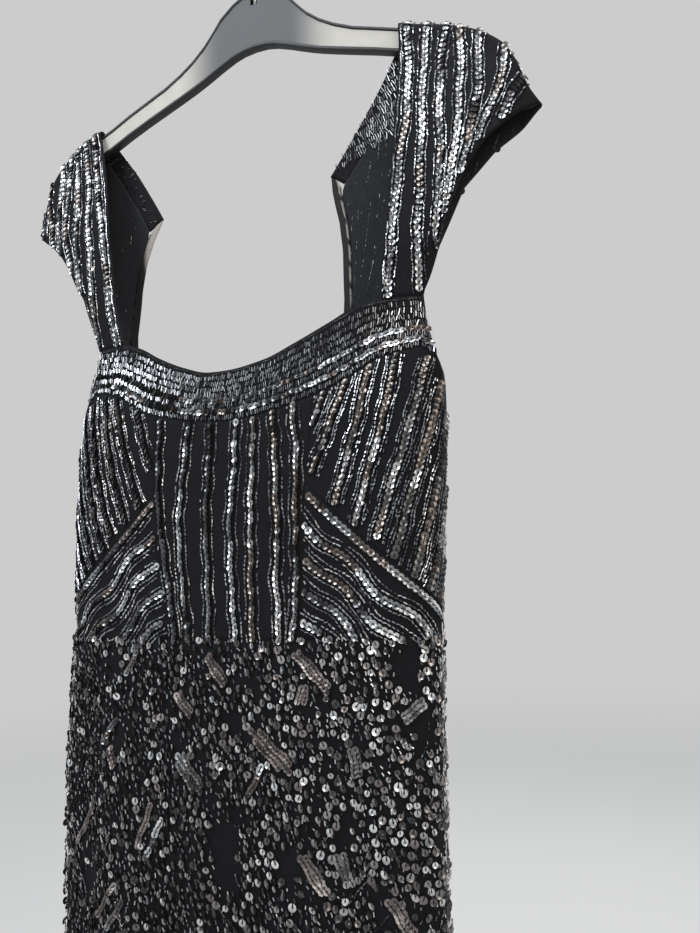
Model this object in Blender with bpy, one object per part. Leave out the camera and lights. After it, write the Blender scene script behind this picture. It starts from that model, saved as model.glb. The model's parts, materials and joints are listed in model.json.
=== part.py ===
"""A beaded cap-sleeve dress on its plastic hanger, built from named sizes.

Metres. The origin is the inside top of the hook, where it rests on a rail.
+X is the viewer's right, +Z is up and the front of the dress faces -Y.
"""
import bmesh
import bpy
import numpy as np

for old in list(bpy.data.objects):
    bpy.data.objects.remove(old, do_unlink=True)

# Sizes.
CLOTH = 0.0016            # wall of every cloth piece
SEAM = 0.0006             # space between two pieces at a seam
WAIST_Z = -0.655          # where the striped bodice meets the scattered skirt
HEM_Z = -1.190            # knee length
UNDERARM_Z = -0.490       # lowest point of both armholes
STRAP_FOOT_Z = -0.4035    # where a strap meets the neck band
BACK_JOIN_Z = -0.420      # the back is read from the body below this level
TIP = (0.250, -0.257)     # drooping point of the cap sleeve, x and z
SHOULDER_RADIUS = 0.0092  # the fold of a sleeve over the hanger arm
BINDING_WIDTH = 0.008     # edge strip of the open back
BACK_BAND_WIDTH = 0.017   # beaded band along the back neck

# The closed body of the dress, level by level. turn is how far the centre
# line of the front sits to the right of the middle of the section.
#            z      half_width  front_y  back_y   side_y   middle_x  turn
SECTIONS = [(-0.360, 0.1660, -0.0360, 0.0100, -0.014, 0.000, 0.005),
            (-0.420, 0.1673, -0.0400, 0.0120, -0.014, 0.000, 0.005),
            (-0.480, 0.1673, -0.0540, 0.0220, -0.014, -0.001, 0.006),
            (-0.540, 0.1660, -0.0580, 0.0260, -0.014, -0.003, 0.006),
            (-0.600, 0.1626, -0.0600, 0.0280, -0.014, -0.005, 0.011),
            (-0.660, 0.1600, -0.0620, 0.0300, -0.014, -0.006, 0.016),
            (-0.740, 0.1600, -0.0620, 0.0310, -0.014, -0.008, 0.015),
            (-0.860, 0.1585, -0.0610, 0.0320, -0.013, -0.007, 0.010),
            (-1.000, 0.1570, -0.0580, 0.0330, -0.012, -0.004, 0.006),
            (-1.190, 0.1550, -0.0550, 0.0330, -0.011, 0.000, 0.004)]
ROUNDNESS = 0.8           # power of the section curve, 1 would be an ellipse

# Hanging folds of the skirt: depth in metres at each level.
#                z      depth
FOLD_DEPTH = [(-0.660, 0.0), (-0.740, 0.0012), (-0.860, 0.0028),
              (-1.000, 0.0045), (-1.190, 0.0065)]
FOLD_COUNT = 9
FOLD_START = 0.6

# Front neckline and the lower edge of its beaded band.
#            x       neck_z   band_z
NECK_ROWS = [(0.000, -0.4448, -0.4890),
             (0.025, -0.4425, -0.4868),
             (0.050, -0.4335, -0.4822),
             (0.080, -0.4195, -0.4735),
             (0.100, -0.4090, -0.4635),
             (0.121, -0.4038, -0.4510),
             (0.150, -0.4036, -0.4440)]
BAND_END = [(0.1492, -0.4036), (0.1560, -0.4300), (0.1640, -0.4520)]
NECK_TILT = 0.0035        # the neckline hangs lower at its left, higher at its right
# Centre panel, half width by level.
#               z       half_width
CENTRE_ROWS = [(-0.460, 0.0715), (-0.4775, 0.0708), (-0.515, 0.0690),
               (-0.548, 0.0665), (-0.595, 0.0620), (-0.655, 0.0546)]
APEX_Z = -0.543           # where the under-bust seam leaves the centre panel
VEE_SIDE_Z = {"right": -0.648, "left": -0.628}   # where it reaches the side seams

# Fold line of the sleeves over the hanger arm.
#         x       z
RIDGE = [(0.1300, -0.1475), (0.1400, -0.1514), (0.1570, -0.1584),
         (0.1800, -0.1668), (0.2000, -0.1768),
         (0.2140, -0.1870), (0.2265, -0.2005), (0.2345, -0.2180),
         (0.2410, -0.2390), (0.2500, -0.2570)]
# Inner and outer edges of the front strap, from foot to shoulder.
STRAP_INNER = [(0.1210, -0.4032), (0.1265, -0.3720), (0.1335, -0.3300),
               (0.1390, -0.2850), (0.1450, -0.2400), (0.1515, -0.2000),
               (0.1545, -0.1780), (0.1560, -0.1650), (0.1570, -0.1584)]
STRAP_OUTER = {"right": [(0.1510, -0.4032), (0.1635, -0.3750), (0.1745, -0.3480),
                         (0.1830, -0.3330), (0.1915, -0.3153), (0.2015, -0.3000),
                         (0.2130, -0.2866), (0.2330, -0.2710), (0.2500, -0.2570)],
               "left": [(0.1510, -0.4032), (0.1605, -0.3750), (0.1695, -0.3480),
                        (0.1780, -0.3330), (0.1865, -0.3153), (0.1975, -0.3000),
                        (0.2100, -0.2866), (0.2320, -0.2710), (0.2500, -0.2570)]}
# Outer edge of the back, from the join level up to the sleeve tip.
BACK_OUTER = [(0.1510, -0.4200), (0.1500, -0.3890), (0.1610, -0.3515),
              (0.1840, -0.3050), (0.2105, -0.2805), (0.2335, -0.2675),
              (0.2500, -0.2570)]
# Edge of the open back: half its width at each level, and how far that
# level hangs to one side.
#            z      half_width   lean
OPEN_BACK = [(-0.266, 0.0880, -0.020), (-0.285, 0.0940, -0.024),
             (-0.310, 0.1010, -0.026), (-0.336, 0.1045, -0.027),
             (-0.380, 0.1055, -0.028), (-0.420, 0.1020, -0.026),
             (-0.450, 0.0920, -0.022), (-0.475, 0.0760, -0.018),
             (-0.495, 0.0540, -0.012), (-0.508, 0.0310, -0.009),
             (-0.514, 0.0030, -0.008)]
BACK_CORNER = (0.0880, -0.2660)
SHOULDER = (0.1570, -0.1584)   # inner end of the fold, before it hangs aside
# How far each level of a front strap hangs to one side.
#                z       lean
STRAP_LEAN = [(-0.1600, -0.0160), (-0.2000, -0.0100), (-0.2400, -0.0055),
              (-0.2850, -0.0030), (-0.3300, 0.0000), (-0.3720, 0.0015),
              (-0.4035, 0.0048)]
# Half widths between which that lean fades out, on the straps and the back.
#                z       full    none
STRAP_STAY = [(-0.1600, 0.160, 0.235), (-0.2600, 0.180, 0.255),
              (-0.3000, 0.250, 0.320), (-0.4035, 0.250, 0.320)]
BACK_STAY = [(-0.1600, 0.160, 0.235), (-0.3000, 0.120, 0.185),
             (-0.3500, 0.120, 0.158), (-0.4200, 0.114, 0.150)]
# How far the sleeve cloth stands in front of, or behind, the hanger arm.
#             below_ridge  front    back
SLEEVE_LEAN = [(0.000, 0.0000, 0.0000), (0.010, 0.0000, 0.0000),
               (0.040, 0.0042, 0.0005), (0.080, 0.0105, 0.0010),
               (0.125, 0.0160, 0.0010), (0.170, 0.0200, 0.0010),
               (0.212, 0.0235, 0.0010), (0.260, 0.0262, 0.0010)]

# Hanger of moulded plastic with raised rims round a thinner web.
#               x      top_z    bottom_z
HANGER_ROWS = [(0.000, -0.0700, -0.1283), (0.012, -0.0712, -0.1292),
               (0.022, -0.0760, -0.1318), (0.0357, -0.0868, -0.1375),
               (0.0450, -0.0990, -0.1420), (0.0536, -0.1094, -0.1460),
               (0.0660, -0.1205, -0.1513), (0.0800, -0.1300, -0.1565),
               (0.0976, -0.1393, -0.1628), (0.1180, -0.1472, -0.1700),
               (0.1400, -0.1558, -0.1785), (0.1600, -0.1650, -0.1872),
               (0.1800, -0.1722, -0.1955), (0.2000, -0.1822, -0.2045),
               (0.2120, -0.1908, -0.2095), (0.2190, -0.1990, -0.2090)]
RIM_HALF = 0.0042         # half thickness at the rims
WEB_HALF = 0.0032         # half thickness of the recessed web
RIM_TALL = 0.0030         # height of a rim
HOOK_WIRE = 0.0018        # radius of the hook wire
HOOK_BEND = 0.0228        # radius of the hook's centre line
HOOK_SLOT = (0.0034, -0.0835)   # half width and floor of the slot it stands in


# Curves.
def smooth(xs, ys, x):
    """Read a table with a curve that never overshoots its rows."""
    xs, ys, x = np.asarray(xs, float), np.asarray(ys, float), np.asarray(x, float)
    if xs[0] > xs[-1]:
        xs, ys = xs[::-1], ys[::-1]
    step = np.diff(xs)
    slope = np.diff(ys) / step
    tangent = np.zeros(len(xs))
    same = slope[:-1] * slope[1:] > 0
    tangent[1:-1] = np.where(same, 2 * slope[:-1] * slope[1:] / (slope[:-1] + slope[1:] + 1e-15), 0)
    tangent[0], tangent[-1] = slope[0], slope[-1]
    x = np.clip(x, xs[0], xs[-1])
    i = np.clip(np.searchsorted(xs, x) - 1, 0, len(xs) - 2)
    t = (x - xs[i]) / step[i]
    return (ys[i] * (1 + 2 * t) * (1 - t) ** 2 + tangent[i] * step[i] * t * (1 - t) ** 2
            + ys[i + 1] * t * t * (3 - 2 * t) + tangent[i + 1] * step[i] * t * t * (t - 1))


def column(table, number, x):
    rows = np.asarray(table, float)
    return smooth(rows[:, 0], rows[:, number], x)


def along(points, t):
    """Points at the fractions t of a polyline's length."""
    points = np.asarray(points, float)
    run = np.concatenate([[0], np.cumsum(np.linalg.norm(np.diff(points, axis=0), axis=1))])
    t = np.asarray(t, float) * run[-1]
    return np.stack([np.interp(t, run, points[:, k]) for k in range(points.shape[1])], -1)


def patch(bottom, top, left, right, across, up):
    """Blend four edge curves into a grid; rows go up, columns go across."""
    u, v = np.asarray(across)[None, :, None], np.asarray(up)[:, None, None]
    b, t = along(bottom, across)[None], along(top, across)[None]
    l, r = along(left, up)[:, None], along(right, up)[:, None]
    flat = (1 - u) * (1 - v) * b[:, :1] + u * (1 - v) * b[:, -1:] + (1 - u) * v * t[:, :1] + u * v * t[:, -1:]
    return (1 - v) * b + v * t + (1 - u) * l + u * r - flat


# The body.
def ring(z):
    """One level of the body: cloth length from the section's front middle, x and y."""
    half, front, back, side, middle = (float(column(SECTIONS, k, z)) for k in range(1, 6))
    angle = np.linspace(0, np.pi / 2, 181)
    x = half * np.sin(angle) ** ROUNDNESS
    y_front = side + (front - side) * np.cos(angle) ** ROUNDNESS
    y_back = side + (back - side) * np.cos(angle) ** ROUNDNESS
    xs = np.concatenate([x, x[-2::-1]])
    ys = np.concatenate([y_front, y_back[-2::-1]])
    length = np.concatenate([[0], np.cumsum(np.hypot(np.diff(xs), np.diff(ys)))])
    xs = np.concatenate([-xs[:0:-1], xs]) + middle
    ys = np.concatenate([ys[:0:-1], ys])
    return np.concatenate([-length[:0:-1], length]), xs, ys, length[180], length[-1]


def side_seam(z):
    return ring(z)[3]


def half_girth(z):
    return ring(z)[4]


def body(s, z):
    """A point of the body: s metres round from the centre front, at level z."""
    lengths, xs, ys, _, total = ring(z)
    place = s + float(column(SECTIONS, 6, z))
    place = (place + total) % (2 * total) - total
    depth = float(np.interp(-z, [-r[0] for r in FOLD_DEPTH], [r[1] for r in FOLD_DEPTH]))
    x, y = np.interp(place, lengths, xs), np.interp(place, lengths, ys)
    if depth > 0:
        dx = np.interp(place + 0.002, lengths, xs) - np.interp(place - 0.002, lengths, xs)
        dy = np.interp(place + 0.002, lengths, ys) - np.interp(place - 0.002, lengths, ys)
        size = np.hypot(dx, dy) + 1e-12
        wave = depth * np.cos(np.pi * FOLD_COUNT * place / total + FOLD_START)
        x, y = x + wave * dy / size, y - wave * dx / size
    return x, y, z


def back_y(x, z):
    """Depth of the body's back at a given x."""
    _, xs, ys, _, _ = ring(z)
    n = len(xs) // 2
    all_x = np.concatenate([xs[:n - 179][::-1], xs[n + 180:][::-1]])
    all_y = np.concatenate([ys[:n - 179][::-1], ys[n + 180:][::-1]])
    return float(np.interp(x, all_x, all_y))


def front_y(x, z):
    _, xs, ys, _, _ = ring(z)
    n = len(xs) // 2
    return float(np.interp(x, xs[n - 180:n + 181], ys[n - 180:n + 181]))


def back_length(x, z):
    """Cloth length from the centre front to a point x of the back."""
    lengths, xs, ys, _, total = ring(z)
    n = len(xs) // 2
    turn = float(column(SECTIONS, 6, z))
    if x >= xs[n]:
        place = np.interp(-x, -xs[n + 180:], lengths[n + 180:])
    else:
        place = np.interp(-x, -xs[:n - 179], lengths[:n - 179])
    return float(place) - turn


# The sleeves.
def ridge_z(x):
    """Level of the sleeve's fold over the hanger arm."""
    return float(smooth([r[0] for r in RIDGE], [r[1] for r in RIDGE], abs(x)))


def hang(flat, hand, lean, stay):
    """Mirror a front-view grid for one hand and let it hang to one side.

    The cloth beyond the widths in stay keeps its place, and the fold stays
    on the hanger arm.
    """
    out = flat.copy()
    for i in range(out.shape[0]):
        for j in range(out.shape[1]):
            x, z = out[i, j]
            start, end = float(column(stay, 1, z)), float(column(stay, 2, z))
            near = 1 - min(max((x - start) / (end - start), 0.0), 1.0)
            moved = hand * x + lean(z) * near
            high = min(max(1 - (ridge_z(x) - z) / 0.070, 0.0), 1.0)
            out[i, j] = (moved, z + (ridge_z(moved) - ridge_z(x)) * high)
    return out


def strap_lean(z):
    return float(column(STRAP_LEAN, 1, z))


def sleeve(x, z, way):
    """Depth of a sleeve or upper back at a point of the front view.

    way is -1 for the front and +1 for the back.
    """
    reach = abs(x)
    below = max(ridge_z(reach) - z, 0.0)
    radius = SHOULDER_RADIUS * min(max((0.254 - reach) / 0.022, 0.3), 1.0)
    part = min(below / radius, 1.0)
    bend = radius * np.sqrt(max(1 - (1 - part) ** 2, 0.0))
    lean = float(column(SLEEVE_LEAN, 1 if way < 0 else 2, below))
    flat = way * (bend + lean)
    if way < 0:
        mix = min(max((-0.330 - z) / 0.070, 0.0), 1.0)
        target = front_y(x, STRAP_FOOT_Z)
    else:
        mix = min(max((-0.340 - z) / 0.080, 0.0), 1.0)
        target = back_y(x, min(z, BACK_JOIN_Z))
    mix = mix * mix * (3 - 2 * mix)
    return flat * (1 - mix) + target * mix


def sleeve_grid(flat, way):
    """Turn a front-view grid of x and z into points of a sleeve."""
    out = np.zeros(flat.shape[:2] + (3,))
    for i in range(flat.shape[0]):
        for j in range(flat.shape[1]):
            x, z = flat[i, j]
            out[i, j] = (x, sleeve(x, z, way), z)
    return out


def body_grid(flat):
    """Turn a grid of cloth length and level into points of the body."""
    out = np.zeros(flat.shape[:2] + (3,))
    for i in range(flat.shape[0]):
        for j in range(flat.shape[1]):
            out[i, j] = body(*flat[i, j])
    return out


# Solids.
collection = bpy.data.collections.new("beaded_dress")
bpy.context.scene.collection.children.link(collection)


def material(name, colour, roughness, metallic=0.0):
    mat = bpy.data.materials.new(name)
    mat.use_nodes = True
    shader = mat.node_tree.nodes["Principled BSDF"]
    shader.inputs["Base Color"].default_value = (*colour, 1)
    shader.inputs["Roughness"].default_value = roughness
    shader.inputs["Metallic"].default_value = metallic
    return mat


def add(name, points, faces, mat):
    mesh = bpy.data.meshes.new(name)
    mesh.from_pydata([tuple(float(c) for c in p) for p in points], [], faces)
    work = bmesh.new()
    work.from_mesh(mesh)
    bmesh.ops.recalc_face_normals(work, faces=work.faces)
    work.to_mesh(mesh)
    work.free()
    obj = bpy.data.objects.new(name, mesh)
    obj.data.materials.append(mat)
    collection.objects.link(obj)
    return obj


def normals(grid, level_top=False):
    """Unit normals of a grid, from its neighbours."""
    du = np.gradient(grid, axis=1)
    dv = np.gradient(grid, axis=0)
    n = np.cross(du, dv)
    if level_top:
        n[-1, :, 1] = 0
    size = np.linalg.norm(n, axis=2, keepdims=True)
    return n / np.maximum(size, 1e-12)


def sheet(name, grid, mat, hand=1, level_top=False):
    """A closed wall on both sides of a grid. The grid's normals point outwards
    for hand 1; for hand -1 its columns run the other way."""
    if hand < 0:
        grid = grid[:, ::-1]
    n = normals(grid, level_top)
    outer, inner = grid + n * CLOTH / 2, grid - n * CLOTH / 2
    rows, cols = grid.shape[:2]
    points = list(outer.reshape(-1, 3)) + list(inner.reshape(-1, 3))
    back = rows * cols
    faces = []
    for i in range(rows - 1):
        for j in range(cols - 1):
            a, b, c, d = i * cols + j, i * cols + j + 1, (i + 1) * cols + j + 1, (i + 1) * cols + j
            faces.append((a, b, c, d))
            faces.append((back + a, back + d, back + c, back + b))
    rim = ([j for j in range(cols)] + [i * cols + cols - 1 for i in range(1, rows)]
           + [(rows - 1) * cols + j for j in range(cols - 2, -1, -1)]
           + [i * cols for i in range(rows - 2, 0, -1)])
    for k, a in enumerate(rim):
        b = rim[(k + 1) % len(rim)]
        faces.append((b, a, back + a, back + b))
    return add(name, points, faces, mat)


cloth = material("black_net", (0.012, 0.013, 0.015), 0.75)
beaded = material("beaded_net", (0.10, 0.10, 0.105), 0.35, 0.6)
lining = material("back_net", (0.010, 0.011, 0.013), 0.8)
plastic = material("hanger_plastic", (0.035, 0.038, 0.042), 0.32)
metal = material("hook_metal", (0.55, 0.54, 0.52), 0.25, 1.0)

G = SEAM / 2


def spread(count, ends=0.0):
    """Fractions from 0 to 1, closer together near the ends when asked."""
    t = np.linspace(0, 1, count)
    return t * (1 - ends) + ends * (0.5 - 0.5 * np.cos(np.pi * t))


def over_fold(count, part):
    """Rows up a sleeve, with extra ones over its fold at the top."""
    bend = 1 - part * (1 - np.cos(np.radians([90, 68, 46, 23, 0])))
    return np.concatenate([np.linspace(0, bend[0], count)[:-1], bend])


def mirrored_rows(table, number):
    """A table of x and value, drawn on both sides of the centre line."""
    right = [(row[0], row[number]) for row in table]
    return [(-x, v) for x, v in reversed(right[1:])] + right


def neck_line(number, shift, reach):
    """The neckline or the band's lower edge, moved up or down by shift."""
    xs = np.linspace(-reach, reach, 41)
    rows = mirrored_rows(NECK_ROWS, number)
    zs = smooth([r[0] for r in rows], [r[1] for r in rows], xs)
    if number == 1:
        zs = zs + NECK_TILT * np.sin(np.pi * np.clip(xs / STRAP_INNER[0][0], -1, 1))
    return np.stack([xs, zs + shift], -1)


# Front neck band, with its ends running down the armholes.
band_foot = neck_line(2, G, 0.149)
band_foot = np.vstack([[-BAND_END[2][0] + G, BAND_END[2][1] + G], band_foot, [BAND_END[2][0] - G, BAND_END[2][1] + G]])
band_top = neck_line(1, -G, 0.1489)
left_end = [(-x + G, z) for x, z in reversed(BAND_END)]
left_end[0] = tuple(band_foot[0])
left_end[-1] = tuple(band_top[0])
right_end = [(x - G, z) for x, z in reversed(BAND_END)]
right_end[0] = tuple(band_foot[-1])
right_end[-1] = tuple(band_top[-1])
band = patch(band_foot, band_top, left_end, right_end, spread(41), spread(4))
sheet("front_neck_band", body_grid(band), beaded)


def centre_edge(z):
    return float(column(CENTRE_ROWS, 1, z))


def band_z(x):
    return float(smooth([r[0] for r in NECK_ROWS], [r[2] for r in NECK_ROWS], abs(x)))


# Centre front panel, from the band to the waist.
corner = centre_edge(band_z(0.071))
levels = np.linspace(WAIST_Z + G, band_z(corner) - G, 15)
foot = [(s, WAIST_Z + G) for s in np.linspace(-centre_edge(WAIST_Z) + G, centre_edge(WAIST_Z) - G, 9)]
head = [(s, band_z(s) - G) for s in np.linspace(-corner + G, corner - G, 17)]
left = [(-centre_edge(z) + G, z) for z in levels]
right = [(centre_edge(z) - G, z) for z in levels]
left[-1], right[-1] = head[0], head[-1]
sheet("front_center_panel", body_grid(patch(foot, head, left, right, spread(15), spread(12))), beaded)


def vee_z(s, side):
    """Level of the under-bust seam at cloth length s."""
    start, end = centre_edge(APEX_Z), side_seam(VEE_SIDE_Z[side])
    t = (s - start) / (end - start)
    return APEX_Z + (VEE_SIDE_Z[side] - APEX_Z) * t - 0.004 * np.sin(np.pi * np.clip(t, 0, 1))


for hand, side in ((1, "right"), (-1, "left")):
    # Bust panel: band and armhole above, under-bust seam below.
    start, end = centre_edge(APEX_Z), side_seam(VEE_SIDE_Z[side])
    foot = [(s, vee_z(s, side) + G) for s in np.linspace(start + G, end - G, 17)]
    inner_levels = np.linspace(vee_z(start, side) + G, band_z(corner) - G, 8)
    left = [(centre_edge(z) + G, z) for z in inner_levels]
    head = [(s, band_z(s) - G) for s in np.linspace(corner + G, 0.149, 13)] + [(BAND_END[2][0] - G, BAND_END[2][1] - G)]
    under = side_seam(UNDERARM_Z)
    right = [(side_seam(z) - G, z) for z in np.linspace(VEE_SIDE_Z[side] + G, UNDERARM_Z, 17)]
    right += [(under - 0.0045, UNDERARM_Z + 0.018), head[-1]]
    left[0], left[-1], right[0] = foot[0], head[0], foot[-1]
    flat = patch(foot, head, left, right, spread(13), spread(15))
    flat[..., 0] *= hand
    sheet("bust_panel_" + side, body_grid(flat), beaded, hand)

    # Midriff wedge: under-bust seam above, waist below.
    foot = [(s, WAIST_Z + G) for s in np.linspace(centre_edge(WAIST_Z) + G, side_seam(WAIST_Z) - G, 13)]
    head = [(s, vee_z(s, side) - G) for s in np.linspace(start + G, end - G, 17)]
    left = [(centre_edge(z) + G, z) for z in np.linspace(WAIST_Z + G, vee_z(start, side) - G, 9)]
    right = [(side_seam(z) - G, z) for z in np.linspace(WAIST_Z + G, VEE_SIDE_Z[side] - G, 4)]
    left[0], left[-1], right[0], right[-1] = foot[0], head[0], foot[-1], head[-1]
    flat = patch(foot, head, left, right, spread(14), spread(7))
    flat[..., 0] *= hand
    sheet("midriff_panel_" + side, body_grid(flat), beaded, hand)

    # Front strap and the front half of the cap sleeve.
    inner = [(x + G, z) for x, z in STRAP_INNER]
    outer = [(x - G, z) for x, z in STRAP_OUTER[side]]
    foot = [(x, STRAP_FOOT_Z + G) for x in np.linspace(STRAP_INNER[0][0] + G, STRAP_OUTER[side][0][0] - G, 7)]
    shoulder = [(x + G, z) for x, z in RIDGE[2:]]
    shoulder[-1] = outer[-1]
    inner[0], inner[-1], outer[0] = foot[0], shoulder[0], foot[-1]
    up = over_fold(14, 0.043)
    flat = patch(foot, shoulder, inner, outer, spread(9), up)
    grid = sleeve_grid(hang(flat, hand, strap_lean, STRAP_STAY), -1)
    grid[-1, :, 1] -= 0.0007
    sheet("front_strap_" + side, grid, beaded, hand, level_top=True)


def lean_at(z):
    """How far the open back hangs to one side at a level."""
    return float(smooth([0.160, 0.200, 0.240] + [-r[0] for r in OPEN_BACK],
                        [-0.016, -0.0165, -0.018] + [r[2] for r in OPEN_BACK], -z))


def open_edge(move):
    """The edge of the open back from its lowest point up to the corner,
    moved outwards by a distance: pairs of half width and level."""
    rows = np.array([(r[1], r[0]) for r in reversed(OPEN_BACK)])
    rows[0, 0] = 0.0
    fine = along(rows, np.linspace(0, 1, 80))
    step = np.gradient(fine, axis=0)
    step /= np.linalg.norm(step, axis=1, keepdims=True)
    out = fine + move * np.stack([step[:, 1], -step[:, 0]], -1)
    out[:, 0] = np.maximum(out[:, 0], 0.0)
    return out


slope = np.array([SHOULDER[0] - BACK_CORNER[0], SHOULDER[1] - BACK_CORNER[1]])
slope = slope / np.linalg.norm(slope)
square = np.array([slope[1], -slope[0]])   # towards the sleeve


for hand, side in ((1, "right"), (-1, "left")):
    # Beaded band along the back neck, from the shoulder to the corner.
    low = np.array(BACK_CORNER)
    band_low = [low + slope * 0.0006, low + slope * 0.0006 + square * BACK_BAND_WIDTH]
    band_high = [(SHOULDER[0] + 0.0005, SHOULDER[1]), (SHOULDER[0] + 0.0092, ridge_z(SHOULDER[0] + 0.0092)),
                 (SHOULDER[0] + 0.0180, ridge_z(SHOULDER[0] + 0.0180))]
    flat = patch(band_low, band_high, [band_low[0], band_high[0]], [band_low[1], band_high[-1]],
                 spread(4), over_fold(9, 0.084))
    grid = sleeve_grid(hang(flat, hand, lean_at, BACK_STAY), 1)[:, ::-1]
    grid[-1, :, 1] += 0.0007
    sheet("back_neck_band_" + side, grid, beaded, hand, level_top=True)

    # Bound edge of the open back.
    inner, outer = open_edge(0.0), open_edge(BINDING_WIDTH)
    top_cut = BACK_CORNER[1] - 0.0012
    inner = np.array([p for p in inner if p[1] <= top_cut - 0.001] + [(BACK_CORNER[0] + 0.0004, top_cut)])
    inner[0] = (G, OPEN_BACK[-1][0])
    cut = low + slope * 0.0006 + square * BINDING_WIDTH
    outer = np.array([p for p in outer if p[1] <= cut[1] - 0.006] + [(cut[0] - 0.0006 * slope[0] * 2, cut[1] - 0.0012)])
    outer[0] = (G, OPEN_BACK[-1][0] - BINDING_WIDTH)
    flat = patch([inner[0], outer[0]], [inner[-1], outer[-1]], inner, outer, spread(3), spread(30))
    grid = sleeve_grid(hang(flat, hand, lean_at, BACK_STAY), 1)[:, ::-1]
    sheet("back_binding_" + side, grid, cloth, hand)

    # Back bodice, lower part: read from the body, side seam to open edge.
    edge = open_edge(BINDING_WIDTH + SEAM)
    edge = np.array([p for p in edge if p[1] <= BACK_JOIN_Z - 0.001])
    edge[0] = (G, OPEN_BACK[-1][0] - BINDING_WIDTH - SEAM)
    join_half = float(np.interp(-BACK_JOIN_Z, -open_edge(BINDING_WIDTH + SEAM)[::-1, 1], open_edge(BINDING_WIDTH + SEAM)[::-1, 0]))
    edge = np.vstack([edge, [(join_half, BACK_JOIN_Z)]])
    far = [(hand * (half_girth(z) - G), z) for z in np.linspace(WAIST_Z + G, edge[0][1] - 0.004, 10)]
    for x, z in edge[1:]:
        far.append((back_length(hand * x + lean_at(z), z), z))
    far = [(s if s * hand > 0 else s + hand * 2 * half_girth(z), z) for s, z in far]
    near = [(hand * (side_seam(z) + G), z) for z in np.linspace(WAIST_Z + G, UNDERARM_Z, 21)]
    near += [(back_length(hand * 0.1640, -0.460), -0.460), (back_length(hand * 0.1560, -0.440), -0.440),
             (back_length(hand * BACK_OUTER[0][0], BACK_JOIN_Z), BACK_JOIN_Z)]
    foot = [(s, WAIST_Z + G) for s in np.linspace(near[0][0], far[0][0], 12)]
    head = [(s, BACK_JOIN_Z) for s in np.linspace(near[-1][0], far[-1][0], 12)]
    reach = np.linalg.norm(np.diff(np.array(far), axis=0), axis=1)
    seam_part = reach[:9].sum() / reach.sum()
    rows_up = np.concatenate([np.linspace(0, seam_part, 9), np.linspace(seam_part, 1, 19)[1:]])
    low_flat = patch(foot, head, near, far, spread(10), rows_up)
    low_grid = body_grid(low_flat)
    # Upper part: read from the sleeve surface, up to the fold.
    edge_up = [tuple(p) for p in open_edge(BINDING_WIDTH + SEAM)
               if BACK_JOIN_Z + 0.001 < p[1] < BACK_CORNER[1] - 0.022]
    meet = low + slope * 0.0006 + square * (BACK_BAND_WIDTH + SEAM)
    inner_up = [(join_half, BACK_JOIN_Z)] + edge_up + [tuple(meet + np.array([0.0004, -0.003]))]
    inner_up += [tuple(meet * (1 - t) + np.array([SHOULDER[0] + 0.0187, ridge_z(SHOULDER[0] + 0.0187)]) * t)
                 for t in np.linspace(0.04, 1, 9)]
    outer_up = [(x - G, z) for x, z in BACK_OUTER]
    outer_up[0] = (BACK_OUTER[0][0], BACK_JOIN_Z)
    top = [(x, z) for x, z in zip(np.linspace(inner_up[-1][0], TIP[0] - G, 20),
                                  [ridge_z(x) for x in np.linspace(inner_up[-1][0], TIP[0] - G, 20)])]
    outer_up[-1] = top[-1]
    up = over_fold(14, 0.043)
    flat = patch([outer_up[0], inner_up[0]], top[::-1], outer_up, inner_up, spread(10), up)
    upper = sleeve_grid(hang(flat, hand, lean_at, BACK_STAY), 1)
    fade = np.clip(1 - up / 0.25, 0, 1)[:, None, None]
    upper = upper + fade * (low_grid[-1][None] - upper[0][None])
    upper[-1, :, 1] += 0.0007
    whole = np.concatenate([low_grid, upper[1:]])
    sheet("back_bodice_" + side, whole, lining, hand, level_top=True)


# Skirt: one front piece and one back piece, sewn at the sides.
levels = np.linspace(HEM_Z, WAIST_Z - G, 13)
front = np.array([[(s, z) for s in np.linspace(-side_seam(z) + G, side_seam(z) - G, 29)] for z in levels])
sheet("skirt_front", body_grid(front), beaded)
back = np.array([[(s, z) for s in np.linspace(side_seam(z) + G, 2 * half_girth(z) - side_seam(z) - G, 29)] for z in levels])
sheet("skirt_back", body_grid(back), beaded)

# The hanger.
stations = [r[0] for r in HANGER_ROWS]
points, faces = [], []
xs = [-x for x in reversed(stations[1:])] + stations
for x in xs:
    top = float(np.interp(abs(x), stations, [r[1] for r in HANGER_ROWS]))
    low_z = float(np.interp(abs(x), stations, [r[2] for r in HANGER_ROWS]))
    r, w, h = RIM_HALF, WEB_HALF, RIM_TALL
    section = [(-r, top), (r, top), (r, top - h), (w, top - h), (w, low_z + h), (r, low_z + h),
               (r, low_z), (-r, low_z), (-r, low_z + h), (-w, low_z + h), (-w, top - h), (-r, top - h)]
    points += [(x, y, z) for y, z in section]
for i in range(len(xs) - 1):
    for k in range(12):
        a, b = i * 12 + k, i * 12 + (k + 1) % 12
        faces.append((a, b, b + 12, a + 12))
last = (len(xs) - 1) * 12
for base, flip in ((0, True), (last, False)):
    for cap in ((0, 1, 2, 3, 10, 11), (10, 3, 4, 9), (9, 4, 5, 6, 7, 8)):
        ids = [base + k for k in cap]
        faces.append(tuple(ids[::-1]) if flip else tuple(ids))
hanger = add("hanger_body", points, faces, plastic)

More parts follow.
